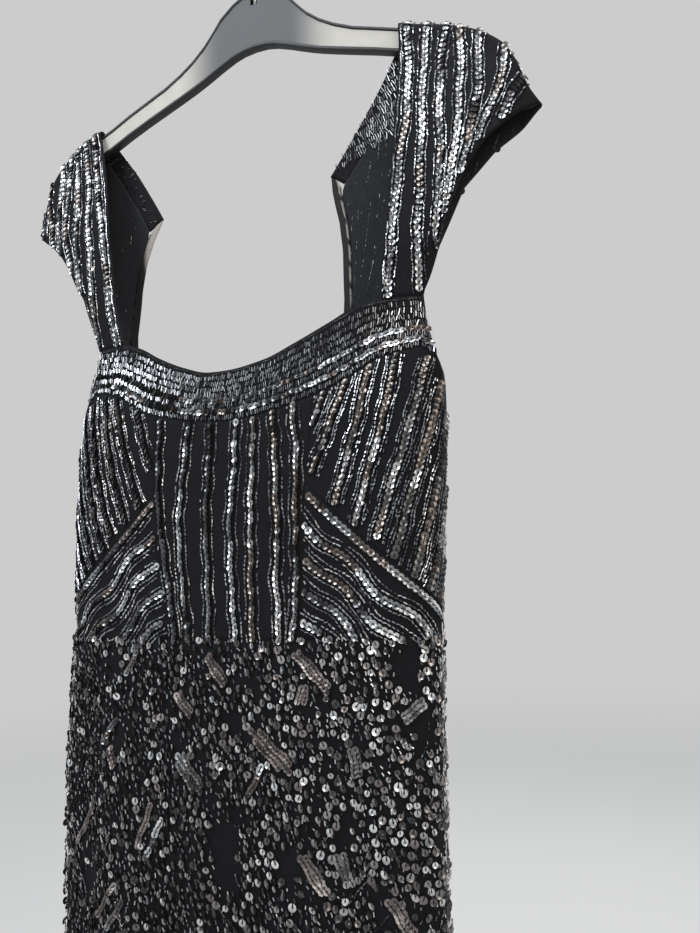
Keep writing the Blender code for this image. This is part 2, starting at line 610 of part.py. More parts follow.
# Slot in the middle of the hanger, where the foot of the hook stands.
half, floor = HOOK_SLOT
box = [(x, y, z) for x in (-half, half) for y in (-0.02, 0.0024) for z in (floor, -0.05)]
cutter = add("slot_cutter", box, [(0, 1, 3, 2), (4, 6, 7, 5), (0, 4, 5, 1), (2, 3, 7, 6), (0, 2, 6, 4), (1, 5, 7, 3)], plastic)
cut = hanger.modifiers.new("slot", "BOOLEAN")
cut.operation, cut.solver, cut.object = "DIFFERENCE", "EXACT", cutter
bpy.context.view_layer.update()
depsgraph = bpy.context.evaluated_depsgraph_get()
carved = bpy.data.meshes.new_from_object(hanger.evaluated_get(depsgraph))
hanger.modifiers.clear()
hanger.data = carved
bpy.data.objects.remove(cutter, do_unlink=True)

# Hook: a wire from the slot, round the bend and a little down again.
centre = HOOK_WIRE - HOOK_BEND
path = [(0.0, floor + 0.0006), (0.0, -0.074), (0.0, -0.064), (0.0006, -0.0560), (0.0045, -0.0480)]
for degree in np.linspace(-52, 205, 24):
    path.append((HOOK_BEND * np.cos(np.radians(degree)), centre + HOOK_BEND * np.sin(np.radians(degree))))
path = np.array(path)
tangent = np.gradient(path, axis=0)
tangent /= np.linalg.norm(tangent, axis=1, keepdims=True)
points, faces, sides = [], [], 10
for (x, z), (tx, tz) in zip(path, tangent):
    for k in range(sides):
        a = 2 * np.pi * k / sides
        points.append((x + HOOK_WIRE * np.cos(a) * tz, HOOK_WIRE * np.sin(a), z - HOOK_WIRE * np.cos(a) * tx))
for i in range(len(path) - 1):
    for k in range(sides):
        a, b = i * sides + k, i * sides + (k + 1) % sides
        faces.append((a, b, b + sides, a + sides))
faces.append(tuple(range(sides))[::-1])
faces.append(tuple((len(path) - 1) * sides + k for k in range(sides)))
add("hanger_hook", points, faces, metal)
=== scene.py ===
# %% [markdown]
# # A beaded dress on its hanger
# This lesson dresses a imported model: a black net evening dress with rows of
# cupped sequins and bugle beads, on a moulded plastic hanger. The packed
# solids give the cut. Here each one gets a thin cloth shell, and the beads
# are sewn on as small real shapes, because their glint comes from their form.

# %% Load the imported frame
import json
import bpy
import numpy as np
from mathutils import Matrix

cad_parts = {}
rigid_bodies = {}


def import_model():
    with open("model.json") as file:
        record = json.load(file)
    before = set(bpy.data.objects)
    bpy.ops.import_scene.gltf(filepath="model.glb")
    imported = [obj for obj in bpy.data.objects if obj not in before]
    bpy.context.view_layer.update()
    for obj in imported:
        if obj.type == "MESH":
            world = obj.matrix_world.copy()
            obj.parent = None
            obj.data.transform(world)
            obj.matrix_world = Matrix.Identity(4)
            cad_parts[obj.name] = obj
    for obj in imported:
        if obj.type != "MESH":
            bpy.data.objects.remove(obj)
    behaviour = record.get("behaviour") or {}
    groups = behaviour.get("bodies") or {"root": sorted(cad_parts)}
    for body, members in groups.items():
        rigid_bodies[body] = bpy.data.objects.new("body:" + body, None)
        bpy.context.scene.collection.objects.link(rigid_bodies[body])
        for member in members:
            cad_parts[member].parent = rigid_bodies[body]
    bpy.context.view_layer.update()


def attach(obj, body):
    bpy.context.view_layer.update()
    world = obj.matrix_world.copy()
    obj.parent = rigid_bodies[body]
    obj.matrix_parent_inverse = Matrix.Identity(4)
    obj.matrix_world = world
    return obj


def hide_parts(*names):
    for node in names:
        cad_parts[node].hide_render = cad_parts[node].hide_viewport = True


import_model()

# %% [markdown]
# ## The camera
# The photo was taken from below the neckline and to the right of the front,
# looking a little up. The three angles and the place below come from fitting
# the hanger and the seams to the photo. A wide lens close to the dress gives
# the same strong perspective.

# %% Camera at the photo's viewing angle
CAMERA_PLACE = (0.3072, -0.5430, -0.6171)
CAMERA_TURN, CAMERA_PITCH, CAMERA_ROLL = np.radians([22.48, 9.0, -1.6])
LENS_MM, FILM_MM = 28.81, 36
forward = np.array([-np.sin(CAMERA_TURN) * np.cos(CAMERA_PITCH),
                    np.cos(CAMERA_TURN) * np.cos(CAMERA_PITCH),
                    np.sin(CAMERA_PITCH)])
level = np.array([np.cos(CAMERA_TURN), np.sin(CAMERA_TURN), 0])
upright = np.cross(level, forward)
side = np.cos(CAMERA_ROLL) * level + np.sin(CAMERA_ROLL) * upright
top = -np.sin(CAMERA_ROLL) * level + np.cos(CAMERA_ROLL) * upright
lens = bpy.data.cameras.new("photo_camera")
lens.lens, lens.sensor_width = LENS_MM, FILM_MM
lens.clip_start = 0.01
camera = bpy.data.objects.new("photo_camera", lens)
pose = Matrix.Identity(4)
for row in range(3):
    pose[row][0], pose[row][1] = side[row], top[row]
    pose[row][2], pose[row][3] = -forward[row], CAMERA_PLACE[row]
camera.matrix_world = pose
bpy.context.scene.collection.objects.link(camera)
bpy.context.scene.camera = camera
print("camera at", CAMERA_PLACE)

# %% [markdown]
# ## The form of the dress
# The cloth follows the same sizes as the solids: level sections for the closed
# body, and front views with a depth for the straps and the upper back. They
# are repeated here so that every bead can ask where the cloth is.

# %% Named sizes
SHELL = 0.0009            # thickness of the thin cloth shell
SEAM = -0.0005            # neighbouring shells lap this much at a seam, so that no light shows through
G = SEAM / 2
WAIST_Z = -0.655
HEM_Z = -1.190
UNDERARM_Z = -0.490
STRAP_FOOT_Z = -0.4035
BACK_JOIN_Z = -0.420
# way: from which level down, over what height, a sleeve turns into the body
SLEEVE_BLEND = {-1: (-0.330, 0.070), 1: (-0.340, 0.080)}
TIP = (0.250, -0.257)
PAST_TIP = 0.262          # further out than any sleeve
BAND_HALF = 0.149         # half width of the neck band where the straps' outer edges meet it
ARM_CORNER = (0.0045, 0.018)     # inwards and up from the underarm
FOLD_SHIFT = 0.0002       # front and back lap this much on the shoulder fold
SHOULDER_RADIUS = 0.0092
BINDING_WIDTH = 0.008
BACK_BAND_WIDTH = 0.017
ROUNDNESS = 0.8
FOLD_COUNT = 9
FOLD_START = 0.6
APEX_Z = -0.543
VEE_SIDE_Z = {"right": -0.648, "left": -0.628}
BACK_CORNER = (0.0880, -0.2660)
SHOULDER = (0.1570, -0.1584)

# z, half_width, front_y, back_y, side_y, middle_x, turn
SECTIONS = [(-0.360, 0.1660, -0.0360, 0.0100, -0.014, 0.000, 0.005),
            (-0.420, 0.1673, -0.0400, 0.0120, -0.014, 0.000, 0.005),
            (-0.480, 0.1673, -0.0540, 0.0220, -0.014, -0.001, 0.006),
            (-0.540, 0.1660, -0.0580, 0.0260, -0.014, -0.003, 0.006),
            (-0.600, 0.1626, -0.0600, 0.0280, -0.014, -0.005, 0.011),
            (-0.660, 0.1600, -0.0620, 0.0300, -0.014, -0.006, 0.016),
            (-0.740, 0.1600, -0.0620, 0.0310, -0.014, -0.008, 0.015),
            (-0.860, 0.1585, -0.0610, 0.0320, -0.013, -0.007, 0.010),
            (-1.000, 0.1570, -0.0580, 0.0330, -0.012, -0.004, 0.006),
            (-1.190, 0.1550, -0.0550, 0.0330, -0.011, 0.000, 0.004)]
# z, depth of the hanging folds
FOLD_DEPTH = [(-0.660, 0.0), (-0.740, 0.0012), (-0.860, 0.0028),
              (-1.000, 0.0045), (-1.190, 0.0065)]
# x, neck_z, band_z
NECK_ROWS = [(0.000, -0.4448, -0.4890), (0.025, -0.4425, -0.4868),
             (0.050, -0.4335, -0.4822), (0.080, -0.4195, -0.4735),
             (0.100, -0.4090, -0.4635), (0.121, -0.4038, -0.4510),
             (0.150, -0.4036, -0.4440)]
BAND_END = [(0.1492, -0.4036), (0.1560, -0.4300), (0.1640, -0.4520)]
NECK_TILT = 0.0035        # the neckline hangs lower at its left, higher at its right
# z, half width of the centre panel
CENTRE_ROWS = [(-0.460, 0.0715), (-0.4775, 0.0708), (-0.515, 0.0690),
               (-0.548, 0.0665), (-0.595, 0.0620), (-0.655, 0.0546)]
# x, z of the sleeve's fold over the hanger arm
RIDGE = [(0.1300, -0.1475), (0.1400, -0.1514), (0.1570, -0.1584), (0.1800, -0.1668),
         (0.2000, -0.1768), (0.2140, -0.1870), (0.2265, -0.2005), (0.2345, -0.2180),
         (0.2410, -0.2390), (0.2500, -0.2570)]
# x, z of the front strap's inner and outer edges
STRAP_INNER = [(0.1210, -0.4032), (0.1265, -0.3720), (0.1335, -0.3300),
               (0.1390, -0.2850), (0.1450, -0.2400), (0.1515, -0.2000),
               (0.1545, -0.1780), (0.1560, -0.1650), (0.1570, -0.1584)]
STRAP_OUTER = {"right": [(0.1510, -0.4032), (0.1635, -0.3750), (0.1745, -0.3480),
                         (0.1830, -0.3330), (0.1915, -0.3153), (0.2015, -0.3000),
                         (0.2130, -0.2866), (0.2330, -0.2710), (0.2500, -0.2570)],
               "left": [(0.1510, -0.4032), (0.1605, -0.3750), (0.1695, -0.3480),
                        (0.1780, -0.3330), (0.1865, -0.3153), (0.1975, -0.3000),
                        (0.2100, -0.2866), (0.2320, -0.2710), (0.2500, -0.2570)]}
BACK_OUTER = [(0.1510, -0.4200), (0.1500, -0.3890), (0.1610, -0.3515),
              (0.1840, -0.3050), (0.2105, -0.2805), (0.2335, -0.2675),
              (0.2500, -0.2570)]
# z, half width and sideways lean of the open back
OPEN_BACK = [(-0.266, 0.0880, -0.020), (-0.285, 0.0940, -0.024),
             (-0.310, 0.1010, -0.026), (-0.336, 0.1045, -0.027),
             (-0.380, 0.1055, -0.028), (-0.420, 0.1020, -0.026),
             (-0.450, 0.0920, -0.022), (-0.475, 0.0760, -0.018),
             (-0.495, 0.0540, -0.012), (-0.508, 0.0310, -0.009),
             (-0.514, 0.0030, -0.008)]
# z, how far a front strap hangs to one side
STRAP_LEAN = [(-0.1600, -0.0160), (-0.2000, -0.0100), (-0.2400, -0.0055),
              (-0.2850, -0.0030), (-0.3300, 0.0000), (-0.3720, 0.0015),
              (-0.4035, 0.0048)]
# z, and the half widths between which that lean fades out
STRAP_STAY = [(-0.1600, 0.160, 0.235), (-0.2600, 0.180, 0.255),
              (-0.3000, 0.250, 0.320), (-0.4035, 0.250, 0.320)]
BACK_STAY = [(-0.1600, 0.160, 0.235), (-0.3000, 0.120, 0.185),
             (-0.3500, 0.120, 0.158), (-0.4200, 0.114, 0.150)]
# below the fold, and how far the cloth stands off in front and behind
SLEEVE_LEAN = [(0.000, 0.0000, 0.0000), (0.010, 0.0000, 0.0000),
               (0.040, 0.0042, 0.0005), (0.080, 0.0105, 0.0010),
               (0.125, 0.0160, 0.0010), (0.170, 0.0200, 0.0010),
               (0.212, 0.0235, 0.0010), (0.260, 0.0262, 0.0010)]
print("levels of the body:", len(SECTIONS))

# %% [markdown]
# Main creases are listed one by one. Each one is a soft trough or ridge along the
# cloth: where it starts round from the centre front, from which level to which,
# how it leans, how deep and how wide it is. A minus depth is a trough.

# %% Creases of the body and the straps
# s, z_top, z_low, lean, depth, width
BODY_CREASES = [(0.047, -0.520, -0.640, -0.05, -0.0016, 0.010),
                (-0.026, -0.530, -0.650, 0.04, -0.0010, 0.009),
                (0.100, -0.470, -0.560, -0.30, 0.0008, 0.008),
                (-0.112, -0.480, -0.590, 0.25, -0.0010, 0.009),
                (0.000, -0.700, -0.900, 0.02, -0.0022, 0.012),
                (0.088, -0.720, -1.000, 0.05, -0.0018, 0.014),
                (-0.075, -0.740, -1.060, -0.04, 0.0018, 0.013),
                (0.128, -0.650, -0.800, 0.02, -0.0014, 0.010),
                (-0.135, -0.680, -0.860, -0.02, -0.0013, 0.011),
                (0.210, -0.560, -0.760, 0.06, -0.0018, 0.012),
                (0.262, -0.600, -0.900, -0.05, 0.0019, 0.014),
                (0.330, -0.580, -0.700, 0.03, -0.0014, 0.012),
                (-0.235, -0.590, -0.840, -0.05, -0.0018, 0.013),
                (-0.300, -0.560, -0.720, 0.05, 0.0015, 0.011)]
# x, z_top, z_low, lean, depth, width
SLEEVE_CREASES = [(0.170, -0.165, -0.260, 0.04, -0.0011, 0.006),
                  (0.186, -0.170, -0.300, 0.05, 0.0012, 0.006),
                  (0.205, -0.180, -0.280, 0.10, -0.0012, 0.006),
                  (0.222, -0.195, -0.270, 0.20, 0.0010, 0.005),
                  (0.150, -0.240, -0.380, 0.13, -0.0008, 0.006)]


def crease_lift(table, place, z):
    """How far the creases of a table move the cloth outwards."""
    lift = np.zeros(np.broadcast(place, z).shape)
    for start, z_top, z_low, lean, depth, width in table:
        down = (z_top - z) / (z_top - z_low)
        fade = np.clip(np.sin(np.pi * np.clip(down, 0, 1)), 0, 1) ** 0.7
        middle = start + lean * (z_top - z)
        lift += depth * fade * np.exp(-((place - middle) / width) ** 2)
    return lift


print("creases:", len(BODY_CREASES) + len(SLEEVE_CREASES))

# %% Curves through short tables


def smooth(xs, ys, x):
    """Read a table with a curve that never overshoots its rows."""
    xs = np.asarray(xs, float)
    ys = np.asarray(ys, float)
    x = np.asarray(x, float)
    if xs[0] > xs[-1]:
        xs, ys = xs[::-1], ys[::-1]
    step = np.diff(xs)
    slope = np.diff(ys) / step
    tangent = np.zeros(len(xs))
    same = slope[:-1] * slope[1:] > 0
    mean = 2 * slope[:-1] * slope[1:] / (slope[:-1] + slope[1:] + 1e-15)
    tangent[1:-1] = np.where(same, mean, 0)
    tangent[0] = slope[0]
    tangent[-1] = slope[-1]
    x = np.clip(x, xs[0], xs[-1])
    i = np.clip(np.searchsorted(xs, x) - 1, 0, len(xs) - 2)
    t = (x - xs[i]) / step[i]
    return (ys[i] * (1 + 2 * t) * (1 - t) ** 2 + tangent[i] * step[i] * t * (1 - t) ** 2
            + ys[i + 1] * t * t * (3 - 2 * t) + tangent[i + 1] * step[i] * t * t * (t - 1))


def column(table, number, x):
    rows = np.asarray(table, float)
    return smooth(rows[:, 0], rows[:, number], x)


def run_along(points):
    """Length from the start of a polyline to each of its points."""
    return np.concatenate([[0], np.cumsum(np.linalg.norm(np.diff(points, axis=0), axis=1))])


def along(points, t):
    """Points at the fractions t of a polyline's length."""
    points = np.asarray(points, float)
    run = run_along(points)
    return np.stack([np.interp(np.asarray(t, float) * run[-1], run, v) for v in points.T], -1)


def patch(bottom, top, left, right, across, up):
    """Blend four edge curves into a grid; rows go up, columns go across."""
    u = np.asarray(across)[None, :, None]
    v = np.asarray(up)[:, None, None]
    b, t = along(bottom, across)[None], along(top, across)[None]
    l, r = along(left, up)[:, None], along(right, up)[:, None]
    low = (1 - u) * b[:, :1] + u * b[:, -1:]
    high = (1 - u) * t[:, :1] + u * t[:, -1:]
    return (1 - v) * b + v * t + (1 - u) * l + u * r - (1 - v) * low - v * high


print("neckline at the middle:", float(column(NECK_ROWS, 1, 0.0)))

# %% The closed body


QUARTER = 180             # steps from the front or back middle of a level to its side


def ring(z):
    """One level of the body: cloth length from the section's front middle, x and y."""
    half, front, back, edge, middle = (float(column(SECTIONS, k, z)) for k in range(1, 6))
    angle = np.linspace(0, np.pi / 2, QUARTER + 1)
    x = half * np.sin(angle) ** ROUNDNESS
    y_front = edge + (front - edge) * np.cos(angle) ** ROUNDNESS
    y_back = edge + (back - edge) * np.cos(angle) ** ROUNDNESS
    xs = np.concatenate([x, x[-2::-1]])
    ys = np.concatenate([y_front, y_back[-2::-1]])
    length = np.concatenate([[0], np.cumsum(np.hypot(np.diff(xs), np.diff(ys)))])
    xs = np.concatenate([-xs[:0:-1], xs]) + middle
    ys = np.concatenate([ys[:0:-1], ys])
    return np.concatenate([-length[:0:-1], length]), xs, ys, length[QUARTER], length[-1]


LEVELS = np.linspace(HEM_Z, SECTIONS[0][0], 416)
PARTS = np.linspace(-1, 1, 961)
RINGS = [ring(z) for z in LEVELS]
TOTALS = np.array([r[4] for r in RINGS])
SIDES = np.array([r[3] for r in RINGS])
BODY_X, BODY_Y = (np.array([np.interp(PARTS * r[4], r[0], r[k]) for r in RINGS]) for k in (1, 2))


def side_seam(z):
    return np.interp(z, LEVELS, SIDES)


def half_girth(z):
    return np.interp(z, LEVELS, TOTALS)


def look_up(part, z):
    """The section's x and y at a part of the half girth, from -1 to 1."""
    part = (part + 1) % 2 - 1
    row = np.clip((z - LEVELS[0]) / (LEVELS[1] - LEVELS[0]), 0, len(LEVELS) - 1.000001)
    col = np.clip((part + 1) / (PARTS[1] - PARTS[0]), 0, len(PARTS) - 1.000001)
    i, j = row.astype(int), col.astype(int)
    a, b = row - i, col - j
    return [(1 - a) * ((1 - b) * grid[i, j] + b * grid[i, j + 1])
            + a * ((1 - b) * grid[i + 1, j] + b * grid[i + 1, j + 1]) for grid in (BODY_X, BODY_Y)]


def body(s, z):
    """Points of the body: s metres round from the centre front, at level z."""
    s, z = np.broadcast_arrays(np.asarray(s, float), np.asarray(z, float))
    total = half_girth(z)
    place = s + column(SECTIONS, 6, z)
    part = place / total
    x, y = look_up(part, z)
    x1, y1 = look_up(part + 0.002 / total, z)
    x0, y0 = look_up(part - 0.002 / total, z)
    dx, dy = x1 - x0, y1 - y0
    size = np.hypot(dx, dy) + 1e-12
    depth = np.interp(-z, [-r[0] for r in FOLD_DEPTH], [r[1] for r in FOLD_DEPTH])
    lift = depth * np.cos(np.pi * FOLD_COUNT * part + FOLD_START)
    around = (s + total) % (2 * total) - total
    lift = lift + crease_lift(BODY_CREASES, around, z)
    return np.stack([x + lift * dy / size, y - lift * dx / size, z], -1)


print("girth at the waist: %.3f m" % (2 * half_girth(WAIST_Z)))

# %% Depth of the body seen from the front or the back


def front_y(x, z):
    _, xs, ys, _, _ = ring(z)
    n = len(xs) // 2
    front = slice(n - QUARTER, n + QUARTER + 1)
    return np.interp(x, xs[front], ys[front])


def back_y_level(x, z):
    _, xs, ys, _, _ = ring(z)
    n = len(xs) // 2
    all_x, all_y = (np.concatenate([v[:n - QUARTER + 1][::-1], v[n + QUARTER:][::-1]])
                    for v in (xs, ys))
    return np.interp(x, all_x, all_y)


def back_y(x, z):
    """Depth of the body's back, level by level."""
    x, z = np.broadcast_arrays(np.asarray(x, float), np.asarray(z, float))
    steps = np.round(z, 4)
    out = np.zeros(x.shape)
    for level_z in np.unique(steps):
        here = steps == level_z
        out[here] = back_y_level(x[here], float(level_z))
    return out


def back_length(x, z):
    """Cloth length from the centre front to a point x of the back."""
    lengths, xs, ys, _, total = ring(z)
    n = len(xs) // 2
    turn = float(column(SECTIONS, 6, z))
    half = slice(n + QUARTER, None) if x >= xs[n] else slice(0, n - QUARTER + 1)
    return float(np.interp(-x, -xs[half], lengths[half])) - turn


# %% Straps and upper back


def reach_at(edge, z):
    """How far out an edge, given as rows of x and z, lies at level z."""
    return smooth([r[1] for r in edge], [r[0] for r in edge], z)


def ridge_z(x):
    """Level of the sleeve's fold over the hanger arm."""
    return smooth([r[0] for r in RIDGE], [r[1] for r in RIDGE], np.abs(x))


def hang(flat, hand, lean, stay):
    """Mirror a front view for one hand and let it hang to one side."""
    x, z = flat[..., 0], flat[..., 1]
    start, end = column(stay, 1, z), column(stay, 2, z)
    near = 1 - np.clip((x - start) / (end - start), 0, 1)
    moved = hand * x + lean(z) * near
    high = np.clip(1 - (ridge_z(x) - z) / 0.070, 0, 1)
    return np.stack([moved, z + (ridge_z(moved) - ridge_z(x)) * high], -1)


def strap_lean(z):
    return column(STRAP_LEAN, 1, z)


def lean_at(z):
    """How far the open back hangs to one side at a level."""
    return smooth([0.160, 0.200, 0.240] + [-r[0] for r in OPEN_BACK],
                  [-0.016, -0.0165, -0.018] + [r[2] for r in OPEN_BACK], -np.asarray(z))


def sleeve(x, z, way):
    """Depth of a sleeve or upper back; way is -1 for the front and +1 for the back."""
    reach = np.abs(x)
    below = np.maximum(ridge_z(reach) - z, 0)
    radius = SHOULDER_RADIUS * np.clip((0.254 - reach) / 0.022, 0.3, 1)
    part = np.minimum(below / radius, 1)
    bend = radius * np.sqrt(np.maximum(1 - (1 - part) ** 2, 0))
    flat = way * (bend + column(SLEEVE_LEAN, 1 if way < 0 else 2, below))
    flat = flat + way * crease_lift(SLEEVE_CREASES, reach, z) * np.clip(below / 0.02, 0, 1)
    blend_from, blend_height = SLEEVE_BLEND[way]
    mix = np.clip((blend_from - z) / blend_height, 0, 1)
    mix = mix * mix * (3 - 2 * mix)
    target = front_y(x, STRAP_FOOT_Z) if way < 0 else back_y(x, np.minimum(z, BACK_JOIN_Z))
    return flat * (1 - mix) + target * mix


def on_sleeve(flat, hand, way):
    """Points of a front strap (way -1) or upper back (way 1), from its unhung front view."""
    lean, stay = (strap_lean, STRAP_STAY) if way < 0 else (lean_at, BACK_STAY)
    x, z = np.moveaxis(hang(flat, hand, lean, stay), -1, 0)
    return np.stack([x, sleeve(x, z, way), z], -1)


def sleeve_surface(hand, way):
    """The same as a surface of x and z, for rows of beads."""
    return lambda x, z: on_sleeve(np.stack(np.broadcast_arrays(x, z), -1).astype(float), hand, way)


print("sleeve tip at", TIP)

# %% [markdown]
# ## Materials
# Shader maths reads best as maths. A small class wraps a socket, so that
# `noise * 0.2 + 0.3` adds the Math nodes it needs. Every other node comes from
# one method, `node`, which sets its settings first and then its sockets.

# %% A material that is written as expressions


class Value:
    """A value inside a material: a socket that can be added to and multiplied."""

    def __init__(self, finish, socket):
        self.finish = finish
        self.socket = socket

    def maths(self, operation, other=0.0):
        return self.finish.node("ShaderNodeMath", {"operation": operation}, {0: self, 1: other})

    def __add__(self, other):
        return self.maths("ADD", other)

    def __mul__(self, other):
        return self.maths("MULTIPLY", other)

    __radd__, __rmul__ = __add__, __mul__


class Finish:
    """One surface finish: a Principled shader with constants on its own sockets."""

    def __init__(self, name, **constants):
        self.material = bpy.data.materials.new(name)
        self.material.use_nodes = True
        self.tree = self.material.node_tree
        self.shader = self.tree.nodes["Principled BSDF"]
        for socket, value in constants.items():
            title = socket.replace("_", " ").title().replace("Ior", "IOR")
            self.shader.inputs[title].default_value = value

    def node(self, kind, settings, sockets, output=0):
        made = self.tree.nodes.new(kind)
        for setting, value in settings.items():
            setattr(made, setting, value)
        for socket, value in sockets.items():
            if isinstance(value, Value):
                self.tree.links.new(value.socket, made.inputs[socket])
            else:
                made.inputs[socket].default_value = value
        return Value(self, made.outputs[output])

    def feed(self, socket, value):
        self.tree.links.new(value.socket, self.shader.inputs[socket])

    def place(self):
        """The place of a point in the object's own metres."""
        return self.node("ShaderNodeTexCoord", {}, {}, "Object")

    def noise(self, scale, detail=2.0):
        return self.node("ShaderNodeTexNoise", {},
                         {"Vector": self.place(), "Scale": scale, "Detail": detail})

    def fade(self, value, start, end, kind="SMOOTHSTEP"):
        """From 0 at start to 1 at end."""
        return self.node("ShaderNodeMapRange", {"interpolation_type": kind},
                         {"Value": value, "From Min": start, "From Max": end})

    def mix(self, share, first, second):
        """Blend two colours; a colour is three numbers or a value."""
        sockets = {0: share}
        for number, colour in ((6, first), (7, second)):
            sockets[number] = colour if isinstance(colour, Value) else (*colour, 1.0)
        return self.node("ShaderNodeMix", {"data_type": "RGBA"}, sockets, 2)

    def bump(self, height, strength, distance):
        self.feed("Normal", self.node("ShaderNodeBump", {}, {"Strength": strength, "Distance": distance,
                                                             "Height": height}))


# %% [markdown]
# ### Net
# The ground is a fine black net over black net. Close up it shows tiny holes,
# from a step away only a dull, slightly bluish black. A cell pattern about a
# millimetre wide gives the holes, and a slow noise gives worn, dustier places.

# %% Net
def net(name, dark, light):
    cloth = Finish(name, roughness=0.85, specular_ior_level=0.2)
    holes = cloth.node("ShaderNodeTexVoronoi", {"feature": "DISTANCE_TO_EDGE"},
                       {"Vector": cloth.place(), "Scale": 820.0})
    thread = cloth.fade(holes, 0.16, 0.06, "LINEAR")
    dust = cloth.noise(26.0, 3.0)
    cloth.feed("Base Color", cloth.mix(thread * 0.75 + dust * 0.25, dark, light))
    cloth.bump(thread, 0.35, 0.0004)
    return cloth.material


NET = net("black_net", (0.0020, 0.0021, 0.0028), (0.0085, 0.0088, 0.0110))
BACK_NET = net("back_net", (0.0065, 0.0070, 0.0082), (0.026, 0.027, 0.031))
print("cloth finishes:", NET.name, BACK_NET.name)

# %% [markdown]
# The bound edge of the open back is black. Its top corner on the left is faced
# with pale sheer net, and on the right a thin sheer strip runs beside the
# binding. A colour attribute on the mesh says where.

# %% Bound edge with its pale corner
edging = Finish("bound_edge", roughness=0.75, specular_ior_level=0.25)
corner = edging.node("ShaderNodeVertexColor", {"layer_name": "tint"}, {})
corner = edging.node("ShaderNodeSeparateColor", {}, {0: corner})
weave = edging.noise(1400.0, 1.0)
pale = edging.mix(weave, (0.25, 0.235, 0.215), (0.42, 0.39, 0.36))
black = edging.mix(weave, (0.006, 0.006, 0.007), (0.018, 0.018, 0.020))
edging.feed("Base Color", edging.mix(corner, black, pale))
edging.bump(weave, 0.25, 0.0003)
print("edge finish:", edging.material.name)

# %% [markdown]
# ### Sequins and bugles
# A sequin is a cupped, metal-coated film disc with a hole. The cup is what
# makes it flash: its walls face many ways at once. Each one carries its own
# tint in a colour attribute, and a fine noise breaks up the coating. Bugles are
# short glass tubes with a silver or dark lining, so they use the same recipe.

# %% Sequin, bugle and thread finishes
def coated(name, roughness, metallic, streak, dull):
    film = Finish(name, metallic=metallic)
    tint = film.node("ShaderNodeVertexColor", {"layer_name": "tint"}, {})
    wear = film.noise(streak, 2.0)
    film.feed("Base Color", film.mix(wear * dull, tint, (0.02, 0.02, 0.022)))
    film.feed("Roughness", wear * 0.2 + roughness)
    return film.material


SEQUIN = coated("cupped_sequin", 0.23, 1.0, 420.0, 0.30)
MATT = coated("matt_sequin", 0.40, 0.85, 700.0, 0.50)
BUGLE = coated("bugle_bead", 0.20, 0.9, 900.0, 0.25)
thread_finish = Finish("sewing_thread", roughness=0.9)
thread_wear = thread_finish.noise(900.0, 1.0)
thread_finish.feed("Base Color", thread_finish.mix(thread_wear, (0.004, 0.004, 0.005), (0.02, 0.02, 0.022)))
THREAD = thread_finish.material
print("bead finishes:", SEQUIN.name, BUGLE.name, THREAD.name)

# %% [markdown]
# ## Cloth shells
# Each cut piece becomes a thin closed shell on its solid's form, three to four
# times finer, with the creases in it. The edges follow the solid's curves, and
# neighbours lap a little, so that no light shows through a seam.

# %% Build a shell from a grid of points
def unit(vectors):
    return vectors / np.maximum(np.linalg.norm(vectors, axis=-1, keepdims=True), 1e-12)


def grid_normals(grid, level_top=False):
    n = np.cross(np.gradient(grid, axis=1), np.gradient(grid, axis=0))
    if level_top:
        n[-1, :, 1] = 0
    return unit(n)


def mesh_object(name, points, faces, materials):
    mesh = bpy.data.meshes.new(name)
    mesh.from_pydata(np.asarray(points).tolist(), [], faces)
    for made in materials:
        mesh.materials.append(made)
    mesh.polygons.foreach_set("use_smooth", [True] * len(mesh.polygons))
    mesh.update()
    piece = bpy.data.objects.new(name, mesh)
    bpy.context.scene.collection.objects.link(piece)
    return piece


def show_as(piece, solid=None):
    """The piece rides on the one body and may take the place of a solid."""
    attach(piece, "root")
    if solid:
        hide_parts(solid)


PIECES, AREAS = {}, {}


def shell(name, grid, finish, hand=1, level_top=False):
    """A closed thin wall on both sides of a grid, in place of the solid of that name."""
    if hand < 0:
        grid = grid[:, ::-1]
    n = grid_normals(grid, level_top)
    rows, cols = grid.shape[:2]
    points = np.concatenate([(grid + n * SHELL / 2).reshape(-1, 3), (grid - n * SHELL / 2).reshape(-1, 3)])
    back = rows * cols
    faces = []
    for i in range(rows - 1):
        for j in range(cols - 1):
            a, b = i * cols + j, i * cols + j + 1
            c, d = b + cols, a + cols
            faces += [(a, b, c, d), (back + a, back + d, back + c, back + b)]
    rim = list(range(cols)) + [i * cols + cols - 1 for i in range(1, rows)]
    rim += [(rows - 1) * cols + j for j in range(cols - 2, -1, -1)]
    rim += [i * cols for i in range(rows - 2, 0, -1)]
    for k, a in enumerate(rim):
        b = rim[(k + 1) % len(rim)]
        faces.append((b, a, back + a, back + b))
    PIECES[name] = mesh_object(name + "_cloth", points, faces, [finish])
    show_as(PIECES[name], name)
    cells = np.cross(grid[1:, 1:] - grid[:-1, :-1], grid[1:, :-1] - grid[:-1, 1:])
    AREAS[name] = float(np.linalg.norm(cells, axis=-1).sum() / 2)
    wide, tall = (np.linalg.norm(np.diff(grid, axis=k), axis=-1).sum(k).max() for k in (1, 0))
    print("%-22s %5d faces, %.0f x %.0f mm, %.4f m2"
          % (name, len(faces), wide * 1e3, tall * 1e3, AREAS[name]))


def paint(piece, shade, hand):
    """Store one number for each grid point of a shell, as its tint."""
    if hand < 0:
        shade = shade[:, ::-1]
    both = np.concatenate([shade.ravel(), shade.ravel()])
    layer = piece.data.color_attributes.new("tint", "FLOAT_COLOR", "POINT")
    layer.data.foreach_set("color", np.repeat(both, 4))


def spread(count):
    return np.linspace(0, 1, count)


def over_fold(count, part):
    """Rows up a sleeve, with extra ones over its fold at the top."""
    bend = 1 - part * (1 - np.cos(np.radians(np.linspace(90, 0, 11))))
    return np.concatenate([np.linspace(0, bend[0], count)[:-1], bend])


